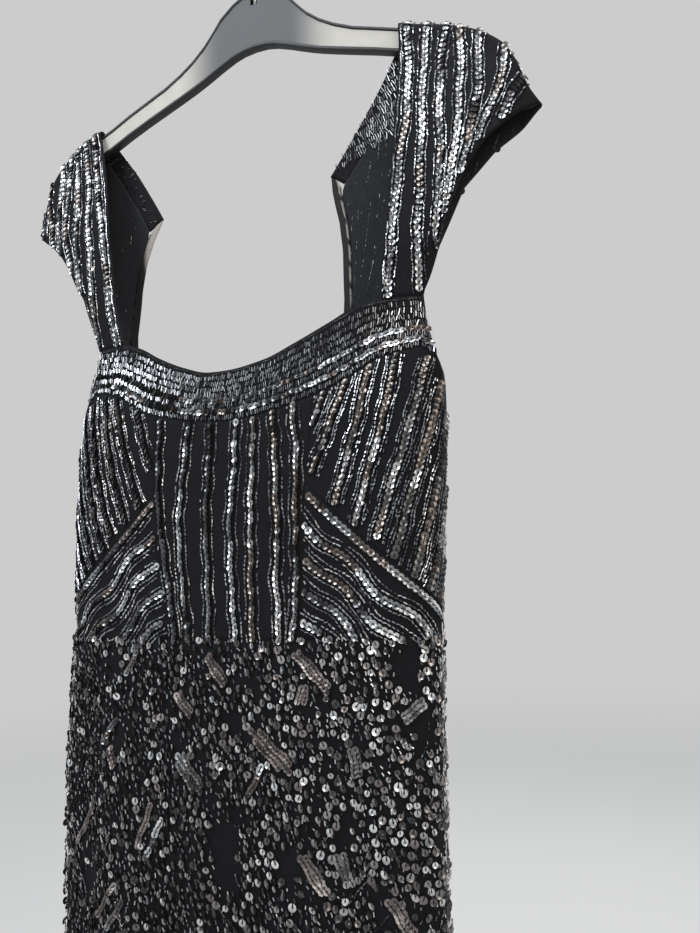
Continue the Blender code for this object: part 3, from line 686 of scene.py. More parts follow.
# %% Seam curves that panels share
def mirrored_rows(table, number):
    right = [(row[0], row[number]) for row in table]
    return [(-x, v) for x, v in reversed(right[1:])] + right


def neck_tilt(x):
    return NECK_TILT * np.sin(np.pi * np.clip(x / STRAP_INNER[0][0], -1, 1))


def neck_line(number, shift, reach):
    """The neckline or the band's lower edge, moved up or down by shift."""
    xs = np.linspace(-reach, reach, 81)
    rows = mirrored_rows(NECK_ROWS, number)
    zs = smooth([r[0] for r in rows], [r[1] for r in rows], xs)
    if number == 1:
        zs = zs + neck_tilt(xs)
    return np.stack([xs, zs + shift], -1)


def centre_edge(z):
    return column(CENTRE_ROWS, 1, z)


def band_z(x):
    return column(NECK_ROWS, 2, np.abs(x))


def neck_z(x):
    return column(NECK_ROWS, 1, np.abs(x)) + neck_tilt(x)


def vee_z(s, hand_name):
    """Level of the under-bust seam at cloth length s."""
    start, end = centre_edge(APEX_Z), side_seam(VEE_SIDE_Z[hand_name])
    t = (s - start) / (end - start)
    return APEX_Z + (VEE_SIDE_Z[hand_name] - APEX_Z) * t - 0.004 * np.sin(np.pi * np.clip(t, 0, 1))


def on_body(flat):
    return body(flat[..., 0], flat[..., 1])


print("band at the middle: %.1f mm tall" % (1e3 * (neck_z(0) - band_z(0))))

# %% Front neck band and centre panel
band_foot = neck_line(2, G, BAND_HALF)
band_foot = np.vstack([[-BAND_END[2][0] + G, BAND_END[2][1] + G], band_foot,
                       [BAND_END[2][0] - G, BAND_END[2][1] + G]])
band_top = neck_line(1, -G, BAND_HALF - 0.0001)
left_end = [(-x + G, z) for x, z in reversed(BAND_END)]
left_end[0], left_end[-1] = tuple(band_foot[0]), tuple(band_top[0])
right_end = [(x - G, z) for x, z in reversed(BAND_END)]
right_end[0], right_end[-1] = tuple(band_foot[-1]), tuple(band_top[-1])
band = patch(band_foot, band_top, left_end, right_end, spread(121), spread(13))
shell("front_neck_band", on_body(band), NET)

CENTRE_FOOT = CENTRE_ROWS[-1][1]
corner_s = float(centre_edge(band_z(0.071)))
rise = np.linspace(WAIST_Z + G, float(band_z(corner_s)) - G, 29)
foot = [(s, WAIST_Z + G) for s in np.linspace(G - CENTRE_FOOT, CENTRE_FOOT - G, 17)]
head = [(s, float(band_z(s)) - G) for s in np.linspace(-corner_s + G, corner_s - G, 33)]
left = [(-float(centre_edge(z)) + G, z) for z in rise]
right = [(float(centre_edge(z)) - G, z) for z in rise]
left[-1], right[-1] = head[0], head[-1]
centre = patch(foot, head, left, right, spread(45), spread(49))
shell("front_center_panel", on_body(centre), NET)

# %% Bust and midriff panels
HANDS = ((1, "right"), (-1, "left"))
for hand, name in HANDS:
    start, end = float(centre_edge(APEX_Z)), float(side_seam(VEE_SIDE_Z[name]))
    foot = [(s, float(vee_z(s, name)) + G) for s in np.linspace(start + G, end - G, 33)]
    inner_levels = np.linspace(float(vee_z(start, name)) + G, float(band_z(corner_s)) - G, 15)
    left = [(float(centre_edge(z)) + G, z) for z in inner_levels]
    head = [(s, float(band_z(s)) - G) for s in np.linspace(corner_s + G, BAND_HALF, 13)]
    head += [(BAND_END[2][0] - G, BAND_END[2][1] - G)]
    under = float(side_seam(UNDERARM_Z))
    right = [(float(side_seam(z)) - G, z) for z in np.linspace(VEE_SIDE_Z[name] + G, UNDERARM_Z, 17)]
    right += [(under - ARM_CORNER[0], UNDERARM_Z + ARM_CORNER[1]), head[-1]]
    left[0], left[-1], right[0] = foot[0], head[0], foot[-1]
    flat = patch(foot, head, left, right, spread(37), spread(43))
    flat[..., 0] *= hand
    shell("bust_panel_" + name, on_body(flat), NET, hand=hand)

    foot = [(s, WAIST_Z + G) for s in np.linspace(CENTRE_FOOT + G, float(side_seam(WAIST_Z)) - G, 25)]
    head = [(s, float(vee_z(s, name)) - G) for s in np.linspace(start + G, end - G, 33)]
    left = [(float(centre_edge(z)) + G, z)
            for z in np.linspace(WAIST_Z + G, float(vee_z(start, name)) - G, 17)]
    right = [(float(side_seam(z)) - G, z) for z in np.linspace(WAIST_Z + G, VEE_SIDE_Z[name] - G, 4)]
    left[0], left[-1], right[0], right[-1] = foot[0], head[0], foot[-1], head[-1]
    flat = patch(foot, head, left, right, spread(37), spread(19))
    flat[..., 0] *= hand
    shell("midriff_panel_" + name, on_body(flat), NET, hand=hand)

# %% Front straps with their half of the cap sleeve
for hand, name in HANDS:
    inner = [(x + G, z) for x, z in STRAP_INNER]
    outer = [(x - G, z) for x, z in STRAP_OUTER[name]]
    foot = [(x, STRAP_FOOT_Z + G) for x in np.linspace(inner[0][0], outer[0][0], 7)]
    shoulder = [(x + G, z) for x, z in RIDGE[2:]]
    shoulder[-1] = outer[-1]
    inner[0], inner[-1], outer[0] = foot[0], shoulder[0], foot[-1]
    flat = patch(foot, shoulder, inner, outer, spread(31), over_fold(46, 0.043))
    grid = on_sleeve(flat, hand, -1)
    grid[-1, :, 1] += FOLD_SHIFT
    shell("front_strap_" + name, grid, NET, hand=hand, level_top=True)

# %% Open back: its edge, the neck bands and the bindings
def open_edge(move):
    """The edge of the open back from its lowest point to the corner, moved outwards."""
    rows = np.array([(r[1], r[0]) for r in reversed(OPEN_BACK)])
    rows[0, 0] = 0.0
    fine = along(rows, np.linspace(0, 1, 80))
    step = np.gradient(fine, axis=0)
    step /= np.linalg.norm(step, axis=1, keepdims=True)
    out = fine + move * np.stack([step[:, 1], -step[:, 0]], -1)
    out[:, 0] = np.maximum(out[:, 0], 0.0)
    return out


def open_half(z, **ends):
    """Half width of the open back, out to where the bodice begins."""
    edge = open_edge(BINDING_WIDTH + SEAM)[::-1]
    return np.interp(-z, -edge[:, 1], edge[:, 0], **ends)


# the back neck band runs from its low corner up the slope, and is wide square to it
low = np.array(BACK_CORNER)
slope = np.array(SHOULDER) - low
slope = slope / np.linalg.norm(slope)
square = np.array([slope[1], -slope[0]])
for hand, name in HANDS:
    band_low = [low + slope * SEAM, low + slope * SEAM + square * BACK_BAND_WIDTH]
    band_high = [(x, float(ridge_z(x))) for x in SHOULDER[0] + np.array([0.0005, 0.0092, 0.0184])]
    flat = patch(band_low, band_high, [band_low[0], band_high[0]], [band_low[1], band_high[-1]],
                 spread(13), over_fold(31, 0.084))
    grid = on_sleeve(flat, hand, 1)[:, ::-1]
    grid[-1, :, 1] -= FOLD_SHIFT
    shell("back_neck_band_" + name, grid, NET, hand=hand, level_top=True)

    inner, outer = open_edge(0.0), open_edge(BINDING_WIDTH)
    top_cut = BACK_CORNER[1] - SEAM
    inner = np.array([p for p in inner if p[1] <= top_cut - 0.001] + [(BACK_CORNER[0] + 0.0004, top_cut)])
    inner[0] = (G, OPEN_BACK[-1][0])
    cut = low + slope * SEAM + square * BINDING_WIDTH
    outer = np.array([p for p in outer if p[1] <= cut[1] - 0.006]
                     + [(cut[0] - SEAM * slope[0], cut[1] - SEAM)])
    outer[0] = (G, OPEN_BACK[-1][0] - BINDING_WIDTH)
    flat = patch([inner[0], outer[0]], [inner[-1], outer[-1]], inner, outer, spread(9), spread(97))
    grid = on_sleeve(flat, hand, 1)[:, ::-1]
    shell("back_binding_" + name, grid, edging.material, hand)
    z = grid[..., 2]
    near_bodice = 1 - np.linspace(0, 1, 9)[None, :]
    if hand < 0:
        pale = np.clip((z + 0.318 - 0.02 * near_bodice) / 0.012, 0, 1)
    else:
        pale = (near_bodice > 0.70) * np.clip((z + 0.395) / 0.02, 0, 1) * (np.sin(z * 310) > -0.55)
    paint(PIECES["back_binding_" + name], pale, hand)

# %% Back bodice, side seam to open edge and up over the shoulder
for hand, name in HANDS:
    join_half = float(open_half(BACK_JOIN_Z))
    edge = np.array([p for p in open_edge(BINDING_WIDTH + SEAM) if p[1] <= BACK_JOIN_Z - 0.001])
    edge[0] = (G, OPEN_BACK[-1][0] - BINDING_WIDTH - SEAM)
    edge = np.vstack([edge, [(join_half, BACK_JOIN_Z)]])
    far = [(hand * (float(half_girth(z)) - G), z) for z in np.linspace(WAIST_Z + G, edge[0][1] - 0.004, 10)]
    far += [(back_length(hand * x + float(lean_at(z)), z), z) for x, z in edge[1:]]
    far = [(s if s * hand > 0 else s + hand * 2 * float(half_girth(z)), z) for s, z in far]
    near = [(hand * (float(side_seam(z)) + G), z) for z in np.linspace(WAIST_Z + G, UNDERARM_Z, 21)]
    near += [(back_length(hand * 0.1640, -0.460), -0.460), (back_length(hand * 0.1560, -0.440), -0.440),
             (back_length(hand * BACK_OUTER[0][0], BACK_JOIN_Z), BACK_JOIN_Z)]
    foot = [(s, WAIST_Z + G) for s in np.linspace(near[0][0], far[0][0], 12)]
    head = [(s, BACK_JOIN_Z) for s in np.linspace(near[-1][0], far[-1][0], 12)]
    reach = np.linalg.norm(np.diff(np.array(far), axis=0), axis=1)
    seam_part = reach[:9].sum() / reach.sum()
    rows_up = np.concatenate([np.linspace(0, seam_part, 25), np.linspace(seam_part, 1, 37)[1:]])
    low_grid = on_body(patch(foot, head, near, far, spread(33), rows_up))

    edge_up = [tuple(p) for p in open_edge(BINDING_WIDTH + SEAM)
               if BACK_JOIN_Z + 0.001 < p[1] < BACK_CORNER[1] - 0.022]
    meet = low + slope * SEAM + square * (BACK_BAND_WIDTH + SEAM)
    band_foot_x = SHOULDER[0] + 0.0186
    inner_up = [(join_half, BACK_JOIN_Z)] + edge_up + [tuple(meet + np.array([0.0004, -0.003]))]
    inner_up += [tuple(meet * (1 - t) + np.array([band_foot_x, float(ridge_z(band_foot_x))]) * t)
                 for t in np.linspace(0.04, 1, 9)]
    outer_up = [(x - G, z) for x, z in BACK_OUTER]
    outer_up[0] = (BACK_OUTER[0][0], BACK_JOIN_Z)
    crest = [(x, float(ridge_z(x))) for x in np.linspace(inner_up[-1][0], TIP[0] - G, 20)]
    outer_up[-1] = crest[-1]
    up = over_fold(41, 0.043)
    flat = patch([outer_up[0], inner_up[0]], crest[::-1], outer_up, inner_up, spread(33), up)
    upper = on_sleeve(flat, hand, 1)
    blend = np.clip(1 - up / 0.25, 0, 1)[:, None, None]
    upper = upper + blend * (low_grid[-1] - upper[0])
    upper[-1, :, 1] -= FOLD_SHIFT
    shell("back_bodice_" + name, np.concatenate([low_grid, upper[1:]]), BACK_NET, hand=hand, level_top=True)

# %% Skirt front and back
hang_levels = np.linspace(HEM_Z, WAIST_Z - G, 73)
seams = side_seam(hang_levels)
across = np.linspace(-1, 1, 97)
front = np.stack([across[None, :] * (seams[:, None] - G), np.repeat(hang_levels[:, None], 97, 1)], -1)
shell("skirt_front", on_body(front), NET)
girths = half_girth(hang_levels)
share = (across + 1) / 2
round_back = (seams + G)[:, None] + share[None, :] * (2 * girths - 2 * seams - 2 * G)[:, None]
back_flat = np.stack([round_back, np.repeat(hang_levels[:, None], 97, 1)], -1)
shell("skirt_back", on_body(back_flat), NET)

# %% [markdown]
# ## Sewing on beads
# A bead needs a place, the way its row runs and the way the cloth faces. All
# three come from the cloth itself: a row is drawn in cloth measurements, then
# walked in real steps of a bead's pitch.

# %% Walk a row over the cloth
chance = np.random.default_rng(11)
UP = np.array([0.0, 0.0, 1.0])


def frames(surface, a, b, facing=None):
    """Place and outward normal of the cloth at flat positions a, b."""
    h = 0.0005
    p = surface(a, b)
    n = unit(np.cross(surface(a + h, b) - surface(a - h, b), surface(a, b + h) - surface(a, b - h)))
    if facing is not None:
        n = n * np.where(n @ np.array([0.0, facing, 0.3]) < 0, -1.0, 1.0)[:, None]
    return p, n


def in_plane(v, n):
    """The direction of v as far as it lies square to n."""
    return unit(v - n * (v * n).sum(-1, keepdims=True))


def walk(surface, path, pitch, facing=None):
    """Steps along a flat path: place, direction, normal and the flat position."""
    fine = along(path, np.linspace(0, 1, 240))
    points = surface(fine[:, 0], fine[:, 1])
    run = run_along(points)
    stops = np.arange(pitch * 0.5, run[-1], pitch)
    flat = np.stack([np.interp(stops, run, v) for v in fine.T], -1)
    p, n = frames(surface, flat[:, 0], flat[:, 1], facing)
    ahead = np.stack([np.interp(stops + 0.001, run, v) - np.interp(stops - 0.001, run, v)
                      for v in points.T], -1)
    return p, in_plane(ahead, n), n, flat


def beside(path, move):
    """A flat path moved sideways."""
    path = along(path, np.linspace(0, 1, 60))
    step = unit(np.gradient(path, axis=0))
    return path + move * np.stack([-step[:, 1], step[:, 0]], -1)


def wavy(path, depth, wave, start):
    """A flat path with a soft hand-sewn wave."""
    fine = along(path, np.linspace(0, 1, 80))
    step = unit(np.gradient(fine, axis=0))
    lift = depth * np.sin(2 * np.pi * run_along(fine) / wave + start)
    return fine + lift[:, None] * np.stack([-step[:, 1], step[:, 0]], -1)


# %% Piles of beads, one for each piece
PILES = {}
# share, red, green, blue
SILVER = [(0.27, 0.92, 0.93, 0.94), (0.27, 0.44, 0.445, 0.455), (0.26, 0.15, 0.15, 0.155),
          (0.20, 0.24, 0.205, 0.188)]
STRAP = [(0.20, 0.86, 0.86, 0.86), (0.32, 0.45, 0.45, 0.455), (0.22, 0.18, 0.18, 0.185),
         (0.26, 0.28, 0.250, 0.235)]
BROWN = [(0.17, 0.84, 0.825, 0.81), (0.25, 0.40, 0.39, 0.385), (0.24, 0.16, 0.155, 0.15),
         (0.34, 0.24, 0.205, 0.180)]
SMOKY = [(0.24, 1.00, 0.99, 0.98), (0.25, 0.50, 0.48, 0.475), (0.27, 0.29, 0.260, 0.252),
         (0.24, 0.12, 0.115, 0.115)]
TAUPE = [(0.14, 0.62, 0.555, 0.52), (0.46, 0.36, 0.305, 0.285), (0.40, 0.24, 0.210, 0.200)]
GREY = [(0.14, 0.55, 0.55, 0.55), (0.46, 0.31, 0.305, 0.31), (0.40, 0.19, 0.185, 0.19)]
GLASS = [(0.34, 0.88, 0.89, 0.92), (0.36, 0.46, 0.47, 0.50), (0.30, 0.18, 0.18, 0.195)]


def tints(palette, count, runs=1):
    """A tint for each bead, in runs of a few alike, each a little different."""
    shares = np.cumsum([row[0] for row in palette])
    colours = np.array([row[1:] for row in palette])
    picks = []
    while len(picks) < count:
        pick = int(np.searchsorted(shares, chance.random() * shares[-1]))
        picks += [pick] * int(chance.integers((runs + 1) // 2, runs + 1))
    return colours[picks[:count]] * chance.uniform(0.72, 1.25, (count, 1))


def drop(pile, kind, p, t, n, size, tint):
    """Put beads on a pile. A kind is sequin, matt or bugle."""
    PILES.setdefault((pile, kind), []).append((p, t, n, np.broadcast_to(size, p.shape), tint))


def tube(length, wide):
    """Sizes of bugles of some lengths and one width."""
    return np.stack(np.broadcast_arrays(length, wide, wide), -1)


def tip_over(t, n, angle):
    """Turn the frame of each bead about the line across its row."""
    c, s = np.cos(angle)[:, None], np.sin(angle)[:, None]
    return c * t + s * n, c * n - s * t


def turn_round(t, n, angle):
    """Turn the frame of each bead about its normal."""
    c, s = np.cos(angle)[:, None], np.sin(angle)[:, None]
    return c * t + s * np.cross(n, t), n


def aside(n):
    """Level and along the cloth, the way that the sewn discs swing."""
    return unit(np.cross(n, UP))


# %% Rows of sequins and lines of bugles
SEQUIN_SIZE = 0.0058
LIFT = SHELL / 2 + 0.0002


def sequin_row(pile, surface, path, palette, facing=None, keep=None, size=SEQUIN_SIZE, pitch=0.0047,
               kind="sequin", lean=0.13, runs=6, painted_highlight=None, sway=0.34, shade=1.0):
    p, t, n, flat = walk(surface, path, pitch, facing)
    if keep is not None:
        inside = keep(flat[:, 0], flat[:, 1])
        p, t, n, flat = p[inside], t[inside], n[inside], flat[inside]
    count = len(p)
    if count == 0:
        return
    turns = np.arange(0, count + 8, 4)
    slow = np.interp(np.arange(count), turns, chance.normal(0, 0.13, len(turns)))
    t, tipped = tip_over(t, n, lean + slow + chance.normal(0, 0.06, count))
    t, tipped = turn_round(t, tipped, chance.normal(0, 0.15, count))
    tipped = unit(tipped + aside(n) * chance.normal(sway, 0.17, (count, 1)))
    size = size * chance.uniform(0.90, 1.05, (count, 1))
    tint = tints(palette, count, runs) * shade
    # painted highlight: the tints may be brightened along the row, in place of glints of light
    if painted_highlight is not None:
        tint = tint * painted_highlight(flat[:, 0])[:, None]
    drop(pile, kind, p + n * (LIFT + 0.0007), in_plane(t, tipped), tipped, size, tint)


def bugle_line(pile, surface, path, facing=None, keep=None, length=0.0026, wide=0.0010, pitch=0.0032,
               missing=0.08, shade=0.72):
    path = wavy(path, 0.0004, 0.023, chance.uniform(0, 6))
    p, t, n, flat = walk(surface, path, pitch, facing)
    inside = chance.random(len(p)) > missing
    if keep is not None:
        inside &= keep(flat[:, 0], flat[:, 1])
    p, t, n = p[inside], t[inside], n[inside]
    count = len(p)
    if count == 0:
        return
    t, n = turn_round(t, n, chance.normal(0, 0.20, count))
    girth = wide * chance.uniform(0.85, 1.15, count)
    size = tube(length * chance.uniform(0.6, 1.15, count), girth)
    drop(pile, "bugle", p + n * (LIFT + wide / 2), t, n, size, tints(GLASS, count, 2) * shade)


def stripe(pile, surface, path, palette, facing, keep, flanks, **chain):
    """A chain of sequins with bugle lines on each side."""
    sequin_row(pile, surface, path, palette, facing, keep, **chain)
    for flank in flanks:
        for move in (-flank, flank):
            bugle_line(pile, surface, beside(path, move), facing, keep)


# %% [markdown]
# ### Stripes of the straps
# Seven chains fan over each cap. They start on the shoulder fold and most of
# them run out at the outer edge; only two reach the neck band. The table gives
# where each chain is at six levels, in the strap's flat front view.

# %% Strap stripes, front and back
# top, at -0.24, at -0.28, at -0.32, at -0.36, at -0.40, lowest level
STRAP_CHAINS = [(0.1640, 0.1550, 0.1480, 0.1405, 0.1345, 0.1275, -0.4035),
                (0.1775, 0.1670, 0.1640, 0.1590, 0.1545, 0.1500, -0.4035),
                (0.1900, 0.1805, 0.1790, 0.1745, 0.1670, 0.1600, -0.3740),
                (0.1995, 0.1955, 0.1920, 0.1815, 0.1740, 0.1700, -0.3450),
                (0.2115, 0.2080, 0.2015, 0.1905, 0.1850, 0.1800, -0.3170),
                (0.2290, 0.2240, 0.2090, 0.2000, 0.1950, 0.1900, -0.2880),
                (0.2395, 0.2370, 0.2220, 0.2100, 0.2000, 0.1950, -0.2720)]
CHAIN_LEVELS = [-0.240, -0.280, -0.320, -0.360, -0.400]


def strap_keep(name):
    def keep(x, z):
        outer = np.where(z > TIP[1], PAST_TIP, reach_at(STRAP_OUTER[name], z))
        return ((x > reach_at(STRAP_INNER, z) + 0.0008) & (x < outer - 0.0008)
                & (z > STRAP_FOOT_Z + 0.001) & (z < ridge_z(x) + 0.0005))
    return keep


def strap_path(row):
    top_z = float(ridge_z(row[0])) - 0.0002
    z = np.linspace(top_z, row[6], 60)
    return np.stack([smooth([top_z] + CHAIN_LEVELS, row[:6], z), z], -1)


for hand, name in HANDS:
    surface = sleeve_surface(hand, -1)
    for row in STRAP_CHAINS:
        path = wavy(strap_path(row), 0.0005, 0.055, row[0] * 900)
        stripe("front_strap_" + name, surface, path, STRAP, -1, strap_keep(name), (0.0044,),
               pitch=0.0052, lean=0.06, sway=0.0)
    bugle_line("front_strap_" + name, surface, [(x + 0.0022, z) for x, z in STRAP_INNER[:-1]], -1)
print("strap beads laid")

# %% [markdown]
# ### Stripes of the bodice
# The centre panel has seven upright chains. The bust panels have fanned chains
# that run down to the under-bust seam, and the midriff wedges have chains
# parallel to that seam with a soft wave. Each chain has one or two bugle lines
# on both sides.

# %% Centre panel
# s at the five levels below
CENTRE_CHAINS = [(-0.0655, -0.0632, -0.0590, -0.0535, -0.0490),
                 (-0.0368, -0.0388, -0.0415, -0.0400, -0.0365),
                 (-0.0158, -0.0152, -0.0168, -0.0173, -0.0182),
                 (0.0063, 0.0078, 0.0045, 0.0038, 0.0043),
                 (0.0217, 0.0236, 0.0222, 0.0200, 0.0185),
                 (0.0384, 0.0428, 0.0436, 0.0398, 0.0402),
                 (0.0545, 0.0600, 0.0585, 0.0560, 0.0500)]
CENTRE_LEVELS = [-0.485, -0.530, -0.572, -0.612, -0.652]


def centre_keep(s, z):
    return (np.abs(s) < centre_edge(z) - 0.0010) & (z < band_z(s) - 0.0012) & (z > WAIST_Z - 0.0015)


for row in CENTRE_CHAINS:
    z = np.linspace(-0.476, -0.6565, 60)
    path = wavy(np.stack([smooth(CENTRE_LEVELS, row, z), z], -1), 0.0006, 0.031, row[0] * 700)
    stripe("front_center_panel", body, path, SILVER if row[0] < 0.02 else BROWN, None, centre_keep,
           (0.0052,), pitch=0.0043, runs=9, shade=1.12)
print("centre panel beads laid")

# %% Bust panels
# top_s, top_z, foot_s, foot_z, bow
BUST_CHAINS = {"right": [(0.0835, -0.461, 0.0690, -0.506, 0.000), (0.0985, -0.458, 0.0715, -0.538, 0.001),
                         (0.1140, -0.452, 0.0895, -0.560, 0.002), (0.1330, -0.449, 0.1035, -0.574, 0.003),
                         (0.1560, -0.452, 0.1165, -0.588, 0.003), (0.1680, -0.470, 0.1270, -0.602, 0.003),
                         (0.1800, -0.492, 0.1400, -0.614, 0.003), (0.1880, -0.524, 0.1500, -0.624, 0.003),
                         (0.1890, -0.558, 0.1600, -0.633, 0.002), (0.1890, -0.592, 0.1700, -0.641, 0.001),
                         (0.1890, -0.620, 0.1790, -0.645, 0.000)],
               "left": [(0.0960, -0.460, 0.0700, -0.522, 0.001), (0.1200, -0.452, 0.0800, -0.550, 0.003),
                        (0.1350, -0.449, 0.0960, -0.562, 0.004), (0.1520, -0.450, 0.1110, -0.574, 0.004),
                        (0.1640, -0.462, 0.1220, -0.584, 0.003), (0.1740, -0.490, 0.1340, -0.596, 0.003),
                        (0.1860, -0.520, 0.1450, -0.604, 0.003), (0.1890, -0.552, 0.1560, -0.612, 0.002),
                        (0.1890, -0.582, 0.1670, -0.619, 0.001), (0.1890, -0.606, 0.1770, -0.624, 0.000)]}


def bust_keep(hand, name):
    under = side_seam(UNDERARM_Z)
    arm = [(WAIST_Z, 0.2), (UNDERARM_Z, under), (UNDERARM_Z + ARM_CORNER[1], under - ARM_CORNER[0]),
           BAND_END[2][::-1]]

    def keep(s, z):
        s = s * hand
        arm_s = np.where(z < UNDERARM_Z, side_seam(z), np.interp(z, *np.transpose(arm)))
        head_z = np.where(s < BAND_HALF, band_z(s), BAND_END[2][1])
        return ((s > centre_edge(z) + 0.0012) & (z > vee_z(s, name) + 0.0015) & (s < arm_s - 0.0012)
                & (z < head_z - 0.0015))
    return keep


for hand, name in HANDS:
    for top_s, top_z, foot_s, foot_z, bow in BUST_CHAINS[name]:
        t = np.linspace(0, 1, 40)
        s = top_s + (foot_s - top_s) * t + bow * np.sin(np.pi * t)
        z = top_z + (foot_z - top_z) * t
        path = wavy(np.stack([hand * s, z], -1), 0.0004, 0.04, top_s * 500)
        stripe("bust_panel_" + name, body, path, BROWN, None, bust_keep(hand, name), (0.0044, 0.0062),
               shade=0.90)
print("bust beads laid")

# %% Midriff wedges
def midriff_keep(hand, name):
    def keep(s, z):
        s = s * hand
        return ((s > centre_edge(z) + 0.0012) & (z < vee_z(s, name) - 0.0012)
                & (z > WAIST_Z - 0.0015) & (s < side_seam(z) - 0.0012))
    return keep


for hand, name in HANDS:
    pile, keep = "midriff_panel_" + name, midriff_keep(hand, name)
    for number in range(5):
        s = np.linspace(0.056, 0.192, 80)
        z = vee_z(s, name) - 0.0062 - number * 0.0245
        path = wavy(np.stack([hand * s, z], -1), 0.0028 if number else 0.0, 0.058, number * 0.9 + hand)
        sequin_row(pile, body, path, SILVER, None, keep, pitch=0.0044, sway=0.12)
        for move in (-0.0048, 0.0048, 0.0080)[0 if number else 1:]:
            bugle_line(pile, body, beside(path, move), None, keep, length=0.0030, pitch=0.0035,
                       missing=0.04, shade=1.0)
print("midriff beads laid")

# %% [markdown]
# ### The neck band
# Along the neckline lies a dark edge with a fine line of beads, then close
# rows of bugles set side by side across the row. Two crowded rows of sequins low
# down are the brightest part of the dress; their tints carry painted highlights.

# %% Neck band rows
# place down the band from 0 to 1, kind, bead length
BAND_BEADS = [(0.05, "fine", 0.0), (0.15, "across", 0.0042), (0.27, "across", 0.0044),
              (0.39, "across", 0.0046), (0.51, "across", 0.0044), (0.62, "sequins", 0.0),
              (0.72, "across", 0.0042), (0.83, "sequins", 0.0), (0.94, "across", 0.0038)]
# place round from the centre, how far each painted highlight reaches
PAINTED_HIGHLIGHT_PLACES = [(-0.105, 0.022), (0.004, 0.030), (0.128, 0.022)]


def band_glow(s):
    """Painted highlights: sequin tints are brightened at three places along the band, in place of glints of
    light.
    """
    return 0.60 + sum(0.7 * np.exp(-((s - place) / reach) ** 2) for place, reach in PAINTED_HIGHLIGHT_PLACES)


def band_path(down):
    """A row along the band, from the left armhole round to the right one."""
    (end_s, _), _, (foot_s, foot_z) = BAND_END
    s = np.linspace(-1, 1, 161) * (end_s + (foot_s - end_s) * down)
    inner_s = np.clip(s, -BAND_HALF, BAND_HALF)
    past = np.clip((np.abs(s) - BAND_HALF) / 0.015, 0, 1)
    low_z = band_z(inner_s) + (foot_z - float(band_z(BAND_HALF))) * past
    return np.stack([s, neck_z(inner_s) * (1 - down) + low_z * down], -1)


for down, kind, length in BAND_BEADS:
    path = band_path(down)
    if kind == "sequins":
        path = wavy(path, 0.0007, 0.013, down * 30)
        sequin_row("front_neck_band", body, path, SILVER, size=0.0054, pitch=0.0040, lean=0.06,
                   runs=2, painted_highlight=band_glow, sway=0.15)
    elif kind == "fine":
        bugle_line("front_neck_band", body, path, length=0.0018, wide=0.0007, pitch=0.0024, shade=0.35)
    else:
        p, _, n, _ = walk(body, path, 0.0018)
        count = len(p)
        present = chance.random(count) > 0.12
        t, n = turn_round(in_plane(UP, n), n, chance.normal(0, 0.16, count))
        p = p + t * chance.normal(0, 0.0007, (count, 1)) + n * chance.uniform(0, 0.0005, (count, 1))
        size = tube(length * chance.uniform(0.7, 1.15, count), 0.0009)
        drop("front_neck_band", "bugle", (p + n * (LIFT + 0.0005))[present], t[present], n[present],
             size[present], (tints(GLASS, count, 1) * 0.78)[present])
print("band beads laid")

# %% [markdown]
# ### The back
# The back repeats the front: stripes from the shoulder fold down to the waist,
# and slanted rows on the two short neck bands. Through the neck one sees the
# plain inside of the cloth with small light stitches where the beads are sewn,
# and more slanted rows inside the right shoulder.

# %% Back stripes
def back_keep_upper(x, z):
    outer = np.where(z > TIP[1], PAST_TIP, reach_at(BACK_OUTER, z))
    inner = np.where(z < BACK_CORNER[1], open_half(z), 0)
    band_side = (x - low[0]) * square[0] + (z - low[1]) * square[1]
    return ((x < outer - 0.0010) & (x > inner + 0.0012) & (z > BACK_JOIN_Z) & (z < ridge_z(x) + 0.0005)
            & ((z < BACK_CORNER[1] - 0.020) | (band_side > BACK_BAND_WIDTH + 0.0022)))


def back_path(k, top_x, start):
    """Stripe number k, from a little under the shoulder fold down to the join."""
    z = np.linspace(float(ridge_z(top_x)) - start, BACK_JOIN_Z, 60)
    down = (z[0] - z) / (z[0] - z[-1])
    return np.stack([top_x + (0.1080 + 0.0062 * k - top_x) * down ** 1.3, z], -1)


BACK_STRIPES = [0.1180, 0.1370, 0.1560, 0.1750, 0.1940, 0.2130, 0.2320]
for hand, name in HANDS:
    for k, top_x in enumerate(BACK_STRIPES):
        stripe("back_bodice_" + name, sleeve_surface(hand, 1), back_path(k, top_x, 0.0002), SMOKY, 1,
               back_keep_upper, (0.0050,))
print("upper back beads laid")

# %% Lower back stripes
def back_keep_lower(s, z):
    total = half_girth(z)
    round_s = np.abs((s + total) % (2 * total) - total)
    half = open_half(z, left=9.0, right=0.0)
    near_open = ((z > OPEN_BACK[-1][0] - BINDING_WIDTH - 0.003)
                 & (np.abs(body(s, z)[..., 0] - lean_at(z)) < half + 0.0015))
    arm = np.interp(z, [UNDERARM_Z, -0.460, -0.440, BACK_JOIN_Z], [0.0, 0.009, 0.020, 0.028])
    return ((round_s > side_seam(z) + 0.0012 + np.where(z > UNDERARM_Z, arm, 0.0)) & ~near_open
            & (z < BACK_JOIN_Z) & (z > WAIST_Z + 0.0012))


for hand, name in HANDS:
    for k in range(10):
        z = np.linspace(BACK_JOIN_Z - 0.002, WAIST_Z + 0.002, 60)
        s = np.full(60, hand * (0.1965 + 0.0174 * k))
        stripe("back_bodice_" + name, body, np.stack([s, z], -1), SMOKY, None, back_keep_lower, (0.0052,))
print("lower back beads laid")

